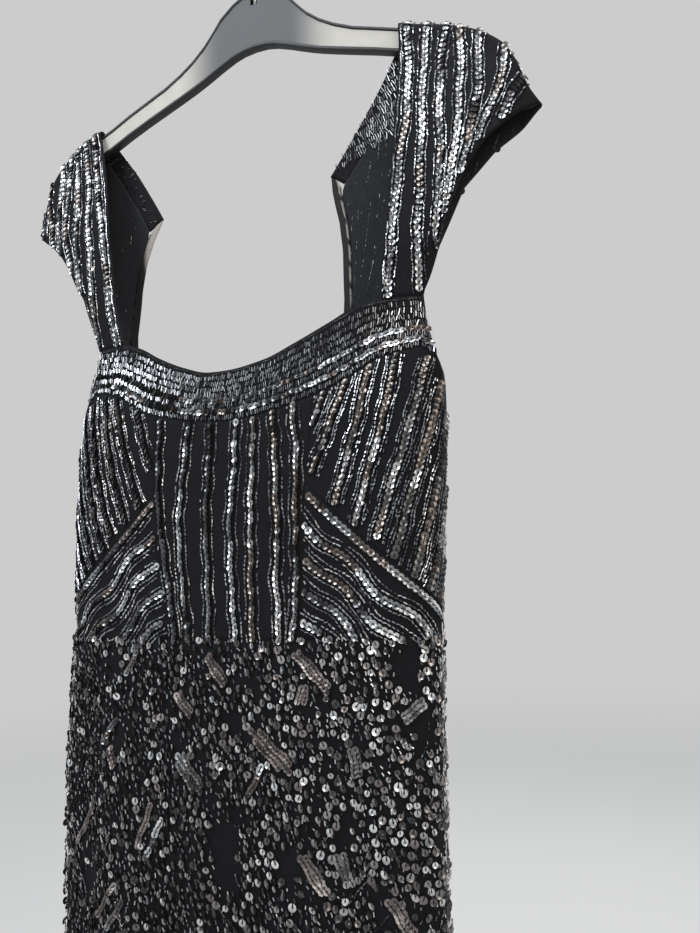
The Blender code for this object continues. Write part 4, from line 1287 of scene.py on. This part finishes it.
# %% Back neck bands and edge lines
# how much of the bead work shows through on the inside
INSIDE_SHARE = {"right": 0.0, "left": 0.12}
STITCH_SHARE = {"right": 0.42, "left": 0.06}
band_length = np.linalg.norm(np.array(SHOULDER) - low)
for hand, name in HANDS:
    surface = sleeve_surface(hand, 1)
    for down in (0.06, 0.22, 0.45, 0.68, 0.90):
        begin = low + slope * 0.003 + square * BACK_BAND_WIDTH * down
        path = [begin, begin + slope * (band_length - 0.006)]
        if down == 0.06:
            bugle_line("back_neck_band_" + name, surface, path, 1)
            continue
        p, t, n, _ = walk(surface, path, 0.0023, 1)
        count = len(p)
        t, n = turn_round(t, n, np.pi / 2 + 0.45 + chance.normal(0, 0.16, count))
        size = tube(0.0027 * chance.uniform(0.7, 1.1, count), 0.0009)
        for way, share, shade in ((1, 0.95, 1.0), (-1, INSIDE_SHARE[name], 0.8)):
            on = chance.random(count) < share
            drop("back_neck_band_" + name, "bugle", (p + way * n * (LIFT + 0.0005))[on], t[on], way * n[on],
                 size[on], (tints(GLASS, count, 2) * shade)[on])
    edge = [p for p in open_edge(BINDING_WIDTH - 0.0008)[2:] if p[1] < BACK_CORNER[1] - 0.010]
    for way in (1, -1):
        p, t, n, _ = walk(surface, edge, 0.0030, 1)
        drop("back_binding_" + name, "bugle", p + way * n * (LIFT + 0.0004), t, way * n,
             (0.0024, 0.0008, 0.0008), tints(GLASS, len(p), 3) * 0.25)
print("back band beads laid")

# %% Stitches on the inside of the back
for hand, name in HANDS:
    for k, top_x in enumerate(BACK_STRIPES):
        for move in (-0.0052, 0.0, 0.0052):
            path = beside(back_path(k, top_x, 0.012), move)
            p, t, n, flat = walk(sleeve_surface(hand, 1), path, 0.0045, 1)
            on = back_keep_upper(flat[:, 0], flat[:, 1]) & (chance.random(len(p)) < STITCH_SHARE[name])
            p, t, n = p[on], t[on], n[on]
            if len(p) == 0:
                continue
            size = tube(chance.uniform(0.0014, 0.0042, len(p)), 0.0007) * (1, 1, 5 / 7)
            drop("back_bodice_" + name, "bugle", p - n * (SHELL / 2 + 0.0002), t, -n, size,
                 tints(GLASS, len(p), 2) * 0.13)
print("stitches laid")

# %% Slanting bead rows on the inside of the right back
for k in range(10):
    begin = low + slope * (0.0075 + 0.0098 * k)
    reach = np.linspace(0, 1, 30)[:, None]
    row = begin + reach * 0.060 * np.array([0.966, 0.259]) + reach ** 2 * np.array([0.0, 0.008])
    p, t, n, flat = walk(sleeve_surface(1, 1), row, 0.0021, 1)
    in_band = (flat - low) @ square < BACK_BAND_WIDTH
    on = (flat[:, 1] < ridge_z(flat[:, 0]) - 0.004) & (chance.random(len(p)) > 0.12)
    count = len(p)
    t, n = turn_round(t, n, np.pi / 2 + 0.10 + chance.normal(0, 0.16, count))
    size = tube(0.0058 * chance.uniform(0.6, 1.1, count), 0.0009)
    p = p - n * (LIFT + 0.0005) + t * chance.normal(0, 0.0006, (count, 1))
    tint = tints(GLASS, count, 2) * 0.75
    for pile, chosen in (("back_neck_band_right", on & in_band), ("back_bodice_right", on & ~in_band)):
        drop(pile, "bugle", p[chosen], t[chosen], -n[chosen], size[chosen], tint[chosen])
print("inside rows laid")

# %% [markdown]
# ### The skirt
# Below the waist the order breaks up. Slanting bars of overlapping taupe
# sequins, a few bare places and thin curved bead lines lie in a loose scatter
# of single sequins, each held by a stitch from its hole to its rim, with short
# bugles between them.

# %% Skirt design in cloth measurements
# s, z, length, lean in degrees, rows, palette
BARS = [(0.065, -0.676, 0.045, 44, 2, "taupe"), (0.035, -0.730, 0.041, 50, 3, "taupe"),
        (0.023, -0.751, 0.026, -28, 1, "silver"), (0.088, -0.805, 0.028, 20, 2, "grey"),
        (0.068, -0.808, 0.031, 34, 2, "taupe"), (0.127, -0.833, 0.030, 34, 2, "taupe"),
        (0.058, -0.692, 0.015, -9, 2, "taupe"), (0.136, -0.703, 0.022, -55, 2, "grey"),
        (0.096, -0.736, 0.024, 12, 2, "grey"), (-0.037, -0.701, 0.026, 42, 2, "taupe"),
        (-0.109, -0.724, 0.026, -39, 1, "silver"), (-0.105, -0.743, 0.019, 26, 2, "taupe"),
        (-0.137, -0.795, 0.044, -36, 1, "taupe"), (-0.128, -0.780, 0.016, -36, 1, "silver"),
        (-0.071, -0.789, 0.040, -20, 1, "taupe"), (-0.062, -0.797, 0.034, -24, 1, "silver"),
        (-0.031, -0.749, 0.036, 40, 3, "grey"), (-0.105, -0.846, 0.038, -36, 1, "taupe"),
        (-0.096, -0.857, 0.034, -36, 1, "silver"), (-0.089, -0.672, 0.022, -30, 1, "silver"),
        (-0.011, -0.676, 0.032, 39, 2, "taupe")]
# s, z, half_width, half_height
BARE = [(0.131, -0.676, 0.012, 0.018), (0.141, -0.717, 0.010, 0.012), (0.051, -0.803, 0.010, 0.013),
        (0.115, -0.832, 0.007, 0.016), (0.090, -0.774, 0.005, 0.017), (-0.111, -0.670, 0.009, 0.013),
        (-0.096, -0.726, 0.006, 0.011), (0.003, -0.713, 0.009, 0.009), (0.000, -0.803, 0.008, 0.028),
        (-0.133, -0.831, 0.013, 0.024), (-0.044, -0.726, 0.005, 0.006), (0.020, -0.690, 0.006, 0.010)]
PALETTES = {"taupe": TAUPE, "grey": GREY, "silver": SILVER}

# The hidden skirt and its lower part carry on in the same manner.
for k in range(300):
    s = chance.uniform(-0.35, 0.35)
    z = chance.uniform(HEM_Z + 0.03, WAIST_Z - 0.02)
    seen = abs(s) < 0.165 and z > -0.868
    crowded = any(abs(s - bar[0]) < 0.030 and abs(z - bar[1]) < 0.030 for bar in BARS)
    if seen or crowded:
        continue
    lean = float(chance.choice([-38, -24, 30, 44])) + chance.uniform(-6, 6)
    kind = str(chance.choice(["taupe", "taupe", "grey", "silver"]))
    length = chance.uniform(0.022, 0.042)
    BARS.append((s, z, length, lean, 1 if kind == "silver" else int(chance.integers(1, 4)), kind))
    if k % 3 == 0:
        BARE.append((s + 0.018, z + 0.006, chance.uniform(0.005, 0.011), chance.uniform(0.010, 0.022)))
print("skirt bars:", len(BARS), "bare places:", len(BARE))

# %% Sew the skirt
def near_bar(s, z):
    """True where a bar lies, so that the scatter keeps off it."""
    hit = np.zeros(len(s), bool)
    for bar_s, bar_z, length, lean, rows, _ in BARS:
        a = np.radians(lean)
        ds, dz = s - bar_s, z - bar_z
        run = ds * np.sin(a) - dz * np.cos(a)
        off = ds * np.cos(a) + dz * np.sin(a)
        hit |= (np.abs(run) < length / 2 + 0.0008) & (np.abs(off) < rows * 0.0020 + 0.0012)
    return hit


def bare_here(s, z):
    """True in a bare place, whose rim is ragged and which keeps a few beads."""
    hit = np.zeros(len(s), bool)
    for bare_s, bare_z, wide, tall in BARE:
        hit |= ((s - bare_s) / wide) ** 2 + ((z - bare_z) / tall) ** 2 < chance.uniform(0.5, 1.5, len(s))
    return hit & (chance.random(len(s)) > 0.10)


def skirt_pile(s, z):
    total = half_girth(z)
    around = (s + total) % (2 * total) - total
    return np.where(np.abs(around) < side_seam(z), "skirt_front", "skirt_back")


def on_skirt(pile, off_bars=False):
    """Keeps beads on one skirt piece, and off the bars if that is asked."""
    def keep(s, z):
        inside = (skirt_pile(s, z) == pile) & (z < WAIST_Z - 0.003) & (z > HEM_Z + 0.003)
        return inside & ~near_bar(s, z) if off_bars else inside
    return keep


for bar_s, bar_z, length, lean, rows, kind in BARS:
    cosine, sine = np.cos(np.radians(lean)), np.sin(np.radians(lean))
    pile = str(skirt_pile(np.array([bar_s]), np.array([bar_z]))[0])
    for row in range(rows):
        off = (row - (rows - 1) / 2) * 0.0038
        half = length * (1 - 0.22 * abs(row - (rows - 1) / 2)) * chance.uniform(0.84, 1.08) / 2
        middle = np.array([bar_s + off * cosine, bar_z + off * sine])
        ends = [middle - half * np.array([sine, -cosine]), middle + half * np.array([sine, -cosine])]
        path = wavy(ends, 0.0006, 0.02, chance.uniform(0, 6))
        sequin_row(pile, body, path, PALETTES[kind], None, on_skirt(pile), 0.0054, 0.0031,
                   "matt" if kind != "silver" else "sequin", 0.16, 3, sway=0.05)
print("bars sewn")

# %% Scatter of single sequins and short bugles
def skirt_glow(z):
    """Painted light falloff: bead tints are brighter near the waist and duller lower down, away from the
    lamps.
    """
    return np.interp(z, [HEM_Z, -0.86, -0.76, WAIST_Z], [0.76, 0.78, 1.00, 1.45])[:, None]


def scattered(spacing, tries, share):
    """Random places that keep their distance, for each skirt piece."""
    taken, kept = {}, []
    for s, z in zip(chance.uniform(-0.362, 0.362, tries),
                    chance.uniform(HEM_Z + 0.004, WAIST_Z + 0.0008, tries)):
        cell = (int(np.floor(s / spacing)), int(np.floor(z / spacing)))
        near = [taken[c] for i in (-1, 0, 1) for j in (-1, 0, 1)
                if (c := (cell[0] + i, cell[1] + j)) in taken]
        if cell in taken or any((s - a) ** 2 + (z - b) ** 2 < spacing ** 2 for a, b in near):
            continue
        taken[cell] = (s, z)
        kept.append((s, z))
    kept = np.array(kept)
    kept = kept[np.abs(kept[:, 0]) < half_girth(kept[:, 1])]
    kept = kept[~near_bar(*kept.T) & ~bare_here(*kept.T)]
    kept = kept[chance.random(len(kept)) < share]
    where = skirt_pile(*kept.T)
    return [(pile, kept[where == pile]) for pile in ("skirt_front", "skirt_back")]


for pile, here in scattered(0.0049, 60000, 0.88):
    p, n = frames(body, here[:, 0], here[:, 1])
    count = len(p)
    t, n = turn_round(in_plane(UP, n), n, chance.normal(0, 0.28, count))
    t, tipped = tip_over(t, n, chance.normal(0.05, 0.15, count))
    tipped = unit(tipped + aside(n) * np.clip(chance.normal(0.38, 0.36, (count, 1)), -0.5, 1.2))
    t = in_plane(t, tipped)
    size = 0.0057 * chance.uniform(0.74, 1.08, (count, 1))
    # the sequin tints carry a painted light falloff down the skirt
    drop(pile, "sequin", p + n * (LIFT + 0.0016), t, tipped, size,
         tints(SMOKY, count) * skirt_glow(here[:, 1]))
    held = chance.random(count) < 0.16
    drop(pile, "bugle", (p + n * (LIFT + 0.0012))[held], t[held], n[held], 0.0013,
         tints(GLASS, held.sum()))
    print(pile, "single sequins:", count)

# %% Short bugles and thin curved lines between them
for pile, here in scattered(0.0036, 90000, 0.84):
    p, n = frames(body, here[:, 0], here[:, 1])
    t, n = turn_round(in_plane(UP, n), n, chance.normal(0.30, 0.28, len(p)))
    size = tube(chance.uniform(0.0016, 0.0032, len(p)), 0.0010)
    # the bugle tints carry the same painted light falloff down the skirt
    drop(pile, "bugle", p + n * (LIFT + 0.0009), t, n, size,
         tints(GLASS, len(p)) * skirt_glow(here[:, 1]))

for k in range(150):
    s = chance.uniform(-0.35, 0.35)
    z = chance.uniform(HEM_Z + 0.06, WAIST_Z - 0.01)
    lean = np.radians(chance.uniform(12, 38)) * (1 if chance.random() < 0.7 else -1)
    length = chance.uniform(0.03, 0.07)
    t = np.linspace(0, 1, 20)
    line = np.stack([s + length * t * np.sin(lean) + 0.004 * np.sin(np.pi * t),
                     z - length * t * np.cos(lean)], -1)
    pile = str(skirt_pile(line[:1, 0], line[:1, 1])[0])
    bugle_line(pile, body, line, None, on_skirt(pile, True), length=0.0024, wide=0.0008,
               pitch=0.0031, shade=0.55)
print("skirt sewn")

# %% [markdown]
# ## Turning piles into joined meshes
# Thousands of small objects would be slow, so each pile becomes one mesh: a
# small template is copied to every frame at once with array maths. The sequin
# template is a cup of two rings with a hole and a thread over its rim, and the
# bugle is a five-sided tube.

# %% Templates
def sequin_template(sides=9):
    """A cupped disc of width one; its own x runs along the row."""
    points, faces, kinds = [], [], []
    for radius, height in ((0.5, 0.085), (0.32, 0.016), (0.13, 0.0)):
        for k in range(sides):
            a = 2 * np.pi * (k + 0.5) / sides
            points.append((radius * np.cos(a), radius * np.sin(a), height))
    for band_number in range(2):
        for k in range(sides):
            a, b = band_number * sides + k, band_number * sides + (k + 1) % sides
            faces.append((a, a + sides, b + sides, b))
            kinds.append(0)
    first = len(points)
    points += [(-0.14, -0.08, 0.025), (-0.14, 0.08, 0.025), (0.49, 0.06, 0.10), (0.49, -0.06, 0.10)]
    faces.append((first, first + 3, first + 2, first + 1))
    kinds.append(1)
    return np.array(points), faces, kinds


def bugle_template(sides=5):
    """A tube of length one along x and width one."""
    points = [(x, 0.5 * np.cos(2 * np.pi * k / sides), 0.5 * np.sin(2 * np.pi * k / sides))
              for x in (-0.5, 0.5) for k in range(sides)]
    faces = [(k, (k + 1) % sides, sides + (k + 1) % sides, sides + k) for k in range(sides)]
    faces += [tuple(range(sides))[::-1], tuple(range(sides, 2 * sides))]
    return np.array(points), faces, [0] * len(faces)


TEMPLATES = {"sequin": (sequin_template(), [SEQUIN, THREAD]),
             "matt": (sequin_template(8), [MATT, THREAD]),
             "bugle": (bugle_template(), [BUGLE])}
print("sequin template:", len(TEMPLATES["sequin"][0][0]), "points")

# %% Build the joined meshes
def joined(name, kind, heaps):
    (points, faces, kinds), materials = TEMPLATES[kind]
    p, t, n, size, tint = (np.concatenate(rows) for rows in zip(*heaps))
    local = points[None] * size[:, None, :]
    where = (p[:, None] + local[..., :1] * t[:, None] + local[..., 1:2] * np.cross(n, t)[:, None]
             + local[..., 2:] * n[:, None])
    count, corners = len(p), len(points)
    loops = np.concatenate(faces)
    starts = np.cumsum([0] + [len(f) for f in faces])[:-1]
    mesh = bpy.data.meshes.new(name)
    mesh.vertices.add(count * corners)
    mesh.vertices.foreach_set("co", where.ravel())
    mesh.loops.add(count * len(loops))
    mesh.loops.foreach_set("vertex_index", (loops + np.arange(count)[:, None] * corners).ravel())
    mesh.polygons.add(count * len(faces))
    mesh.polygons.foreach_set("loop_start", (starts + np.arange(count)[:, None] * len(loops)).ravel())
    mesh.polygons.foreach_set("material_index", np.tile(kinds, count))
    mesh.update(calc_edges=True)
    colours = mesh.color_attributes.new("tint", "FLOAT_COLOR", "POINT")
    shown = np.ones((count, corners, 4))
    shown[..., :3] = np.clip(tint, 0, 1)[:, None]
    colours.data.foreach_set("color", shown.ravel())
    mesh.polygons.foreach_set("use_smooth", [kind != "bugle"] * len(mesh.polygons))
    for made in materials:
        mesh.materials.append(made)
    piece = bpy.data.objects.new(name, mesh)
    bpy.context.scene.collection.objects.link(piece)
    show_as(piece)
    triangles = sum(len(f) - 2 for f in faces) * count
    print("%-34s %5d beads, %6d triangles" % (name, count, triangles))
    return piece, triangles


ON_CLOTH = {}
total_triangles = 0
for (pile, kind), heaps in sorted(PILES.items()):
    piece, triangles = joined(pile + "_" + kind + "s", kind, heaps)
    ON_CLOTH.setdefault(pile, []).append(piece)
    total_triangles += triangles
print("bead triangles in all:", total_triangles)

# %% [markdown]
# ## The hanger
# One moulded piece of black plastic: rounded rims above and below a thinner
# web, a hump in the middle and a slot for the wire hook. The web on the arms
# catches the light and looks grey; that grey is a painted reflection in its colour.
# The imported solid has the shape; this one is finer, with rounded rims.

# %% Hanger sizes and body
# x, top_z, bottom_z
HANGER_ROWS = [(0.000, -0.0700, -0.1283), (0.012, -0.0712, -0.1292), (0.022, -0.0760, -0.1318),
               (0.0357, -0.0868, -0.1375), (0.0450, -0.0990, -0.1420), (0.0536, -0.1094, -0.1460),
               (0.0660, -0.1205, -0.1513), (0.0800, -0.1300, -0.1565), (0.0976, -0.1393, -0.1628),
               (0.1180, -0.1472, -0.1700), (0.1400, -0.1558, -0.1785), (0.1600, -0.1650, -0.1872),
               (0.1800, -0.1722, -0.1955), (0.2000, -0.1822, -0.2045), (0.2120, -0.1908, -0.2095),
               (0.2190, -0.1990, -0.2090)]
RIM_HALF, WEB_HALF, RIM_TALL, RIM_SOFT = 0.0042, 0.0032, 0.0030, 0.0010
ARM_END = 0.219
SLOT_HALF, SLOT_FLOOR = 0.0034, -0.0835
HOOK_WIRE, HOOK_BEND = 0.0018, 0.0228

plastic = Finish("hanger_plastic", specular_ior_level=0.35)
scuffs = plastic.noise(70.0, 5.0)
grain = plastic.noise(1500.0, 2.0)
plastic.feed("Base Color", plastic.mix(scuffs * 0.6, (0.010, 0.011, 0.013), (0.026, 0.027, 0.029)))
plastic.feed("Roughness", scuffs * 0.18 + 0.34)
plastic.bump(grain * 0.3 + scuffs, 0.05, 0.0004)

web_finish_painted_reflection = Finish("hanger_web_painted_reflection", specular_ior_level=0.4)
web_scuffs = web_finish_painted_reflection.noise(60.0, 4.0)
web_x = web_finish_painted_reflection.node("ShaderNodeSeparateXYZ", {}, {0: web_finish_painted_reflection.place()})
# painted reflection: the web is coloured grey on the arms, where the black plastic reflects the light
painted_reflection_share = web_finish_painted_reflection.fade(web_x.maths("ABSOLUTE"), 0.035, 0.085)
arm_painted_reflection = web_finish_painted_reflection.mix(web_scuffs, (0.40, 0.39, 0.36), (0.56, 0.54, 0.50))
middle_colour = web_finish_painted_reflection.mix(web_scuffs, (0.066, 0.072, 0.079), (0.100, 0.108, 0.114))
web_finish_painted_reflection.feed("Base Color", web_finish_painted_reflection.mix(painted_reflection_share, middle_colour, arm_painted_reflection))
web_finish_painted_reflection.feed("Roughness", web_scuffs * 0.2 + 0.5)
web_finish_painted_reflection.bump(web_scuffs, 0.05, 0.0005)


def hanger_section(top_z, low_z):
    """Half the outline of a station, front side, from the top middle to the bottom middle."""
    r, w, h, soft = RIM_HALF, WEB_HALF, RIM_TALL, RIM_SOFT
    # out from the middle, down from the top
    rim = [(0, 0), (r - soft, 0), (r - soft * 0.3, soft * 0.3), (r, soft), (r, h - soft * 0.5),
           (r - soft * 0.5, h), (w + soft * 0.6, h), (w, h + soft * 0.6)]
    return [(-y, top_z - down) for y, down in rim] + [(-y, low_z + up) for y, up in rim[::-1]]


def tube_faces(rings, around):
    """The side faces between rings of points, one ring after the other."""
    return [(i * around + k, i * around + (k + 1) % around,
             (i + 1) * around + (k + 1) % around, (i + 1) * around + k)
            for i in range(rings - 1) for k in range(around)]


stations = np.array([row[0] for row in HANGER_ROWS])
fine_x = np.concatenate([np.linspace(0.0045, ARM_END, 66), stations[1:], [SLOT_HALF, SLOT_HALF + 0.0004]])
fine_x = np.unique(fine_x)
fine_x = np.concatenate([-fine_x[::-1], [0.0], fine_x])
points = []
for x in fine_x:
    top_z, low_z = (float(np.interp(abs(x), stations, [r[k] for r in HANGER_ROWS])) for k in (1, 2))
    half = hanger_section(top_z, low_z)
    outline = half + [(-y, z) for y, z in half[-2:0:-1]]
    points += [(x, y, z) for y, z in outline]
around = len(outline)
web_faces = (7, around - 8)
faces = tube_faces(len(fine_x), around)
kinds = [int(number % around in web_faces) for number in range(len(faces))] + [0, 0]
faces += [tuple(range(around)), tuple(range(len(points) - around, len(points)))[::-1]]
hanger = mesh_object("moulded_hanger", points, faces, [plastic.material, web_finish_painted_reflection.material])
hanger.data.polygons.foreach_set("material_index", kinds)
print("hanger stations:", len(fine_x))

# %% Cut the slot for the hook's foot
cutter_points = [(x, y, z) for x in (-SLOT_HALF, SLOT_HALF) for y in (-0.02, 0.0024)
                 for z in (SLOT_FLOOR, -0.05)]
cutter_faces = [(0, 1, 3, 2), (4, 6, 7, 5), (0, 4, 5, 1), (2, 3, 7, 6), (0, 2, 6, 4), (1, 5, 7, 3)]
cutter = mesh_object("slot_cutter", cutter_points, cutter_faces, [plastic.material])
slot_cut = hanger.modifiers.new("slot", "BOOLEAN")
slot_cut.operation = "DIFFERENCE"
slot_cut.solver = "EXACT"
slot_cut.object = cutter
bpy.context.view_layer.update()
carved = bpy.data.meshes.new_from_object(hanger.evaluated_get(bpy.context.evaluated_depsgraph_get()))
hanger.modifiers.clear()
hanger.data = carved
bpy.data.objects.remove(cutter, do_unlink=True)
hanger.data.polygons.foreach_set("use_smooth", [True] * len(hanger.data.polygons))
hanger.data.set_sharp_from_angle(angle=np.radians(35))
show_as(hanger, "hanger_body")
print("hanger faces:", len(hanger.data.polygons))

# %% [markdown]
# The hook is plain steel wire. It stands in the slot, widens into a round bend
# and ends a little way down. Its inner top is where it rests on a rail.

# %% Hook
steel = Finish("hook_metal", metallic=1.0)
drawn = steel.noise(420.0, 3.0)
steel.feed("Base Color", steel.mix(drawn, (0.46, 0.45, 0.43), (0.66, 0.65, 0.63)))
steel.feed("Roughness", drawn * 0.2 + 0.2)
steel.bump(drawn, 0.08, 0.0002)
bend_centre = HOOK_WIRE - HOOK_BEND
route = [(0.0, SLOT_FLOOR + 0.0006), (0.0, -0.074), (0.0, -0.064), (0.0006, -0.0560), (0.0045, -0.0480)]
route += [(HOOK_BEND * np.cos(a), bend_centre + HOOK_BEND * np.sin(a))
          for a in np.radians(np.linspace(-52, 205, 60))]
route = np.array(route)
heading = unit(np.gradient(route, axis=0))
sides = 20
angles = 2 * np.pi * np.arange(sides) / sides
points = [(x + HOOK_WIRE * np.cos(a) * tz, HOOK_WIRE * np.sin(a), z - HOOK_WIRE * np.cos(a) * tx)
          for (x, z), (tx, tz) in zip(route, heading) for a in angles]
points.append((route[-1, 0], 0.0, route[-1, 1]))
faces = tube_faces(len(route), sides) + [tuple(range(sides))[::-1]]
last = (len(route) - 1) * sides
faces += [(last + k, last + (k + 1) % sides, len(points) - 1) for k in range(sides)]
hook = mesh_object("wire_hook", points, faces, [steel.material])
show_as(hook, "hanger_hook")
print("hook faces:", len(faces))

# %% [markdown]
# ## The cut sizes of the cloth
# Every cut piece is a sheet that hangs from the hanger. Its flat size is the
# size it was cut to, and the sequins and bugles are the pieces on it. Here the
# cut area of each is printed beside the area of its shell.

# %% Sheets
# across, along and area of each cut piece, in metres
CUT = {"front_neck_band": (0.350, 0.054, 0.0151), "front_center_panel": (0.144, 0.180, 0.0217),
       "bust_panel_right": (0.160, 0.200, 0.0160), "bust_panel_left": (0.136, 0.180, 0.0147),
       "midriff_panel_right": (0.160, 0.112, 0.0071), "midriff_panel_left": (0.136, 0.113, 0.0081),
       "front_strap_right": (0.164, 0.258, 0.0173), "front_strap_left": (0.131, 0.253, 0.0146),
       "back_neck_band_right": (0.023, 0.145, 0.0026), "back_neck_band_left": (0.020, 0.127, 0.0021),
       "back_binding_right": (0.011, 0.303, 0.0025), "back_binding_left": (0.010, 0.330, 0.0025),
       "back_bodice_right": (0.182, 0.575, 0.0588), "back_bodice_left": (0.184, 0.580, 0.0443),
       "skirt_front": (0.375, 0.535, 0.1953), "skirt_back": (0.363, 0.535, 0.1910)}
for name, area in AREAS.items():
    across, along_it, flat_area = CUT[name]
    print("%-22s cut %.4f m2, made %.4f m2" % (name, flat_area, area))
print("sheets declared:", len(AREAS))

# %% [markdown]
# ## Floor, backdrop light and lamps
# The room is plain and pale. Sequins only come alive when they mirror
# something uneven, so the light is a pale surround that is dimmer than what
# the camera sees, with four large soft lamps in it. The floor is a wide disc
# that fades into the backdrop, so that no horizon shows.

# %% Floor
BACKDROP = (0.604, 0.604, 0.604)
FLOOR_REACH, FLOOR_Z = 60, -1.42
floor_finish = Finish("pale_floor", roughness=0.9, specular_ior_level=0.0, emission_strength=1.0)
floor_tone = floor_finish.noise(1.5, 2.0)
floor_reach = floor_finish.node("ShaderNodeVectorMath", {"operation": "LENGTH"},
                                {0: floor_finish.place()}, "Value")
far_off = floor_finish.fade(floor_reach, 2.0, 6.0)
floor_near = floor_finish.mix(floor_tone, (0.28, 0.28, 0.28), (0.30, 0.30, 0.30))
floor_finish.feed("Base Color", floor_finish.mix(far_off, floor_near, (0.0, 0.0, 0.0)))
floor_finish.feed("Emission Color", floor_finish.mix(far_off, (0.44, 0.44, 0.44), BACKDROP))
rim_turns = np.linspace(0, 2 * np.pi, 97)[:-1]
floor = mesh_object("pale_floor",
                    [(FLOOR_REACH * np.cos(a), FLOOR_REACH * np.sin(a), FLOOR_Z) for a in rim_turns],
                    [tuple(range(96))], [floor_finish.material])

# %% Surround and lamps
scene = bpy.context.scene
scene.view_settings.view_transform = "Standard"
scene.view_settings.look = "None"
world = bpy.data.worlds.new("studio")
scene.world = world
world.use_nodes = True
nodes, links = world.node_tree.nodes, world.node_tree.links
nodes.clear()
ray = nodes.new("ShaderNodeLightPath")
mixer = nodes.new("ShaderNodeMixShader")
output = nodes.new("ShaderNodeOutputWorld")
links.new(ray.outputs["Is Camera Ray"], mixer.inputs[0])
# what lights the room, then what the camera sees
for number, (colour, strength) in enumerate((((0.80, 0.90, 1.0), 0.24), (BACKDROP, 1.0)), 1):
    light = nodes.new("ShaderNodeBackground")
    light.inputs["Color"].default_value = (*colour, 1)
    light.inputs["Strength"].default_value = strength
    links.new(light.outputs[0], mixer.inputs[number])
links.new(mixer.outputs[0], output.inputs["Surface"])

# name, place, aim, width, watts, colour
LAMPS = [("key", (-0.9, -1.5, 0.9), (0, 0, -0.45), 0.9, 30, (0.94, 0.97, 1.0)),
         ("fill", (1.6, -1.3, 0.1), (0, 0, -0.6), 1.1, 16, (1.0, 0.93, 0.84)),
         ("crown", (0.2, -0.5, 1.5), (0, 0, -0.3), 1.0, 24, (0.96, 0.98, 1.0)),
         ("rear", (0.3, 1.8, 0.6), (0, 0, -0.6), 1.3, 26, (1.0, 0.98, 0.95))]
for name, place, aim, width, watts, colour in LAMPS:
    lamp = bpy.data.lights.new(name, "AREA")
    lamp.size = width
    lamp.energy = watts
    lamp.color = colour
    holder = bpy.data.objects.new(name, lamp)
    direction = unit(np.array(aim, float) - np.array(place, float))
    across_lamp = unit(np.cross(direction, [0, 0, 1.0]))
    turned = Matrix.Identity(4)
    for row in range(3):
        turned[row][0], turned[row][1] = across_lamp[row], np.cross(across_lamp, direction)[row]
        turned[row][2], turned[row][3] = -direction[row], place[row]
    holder.matrix_world = turned
    scene.collection.objects.link(holder)
print("lamps:", len(LAMPS))
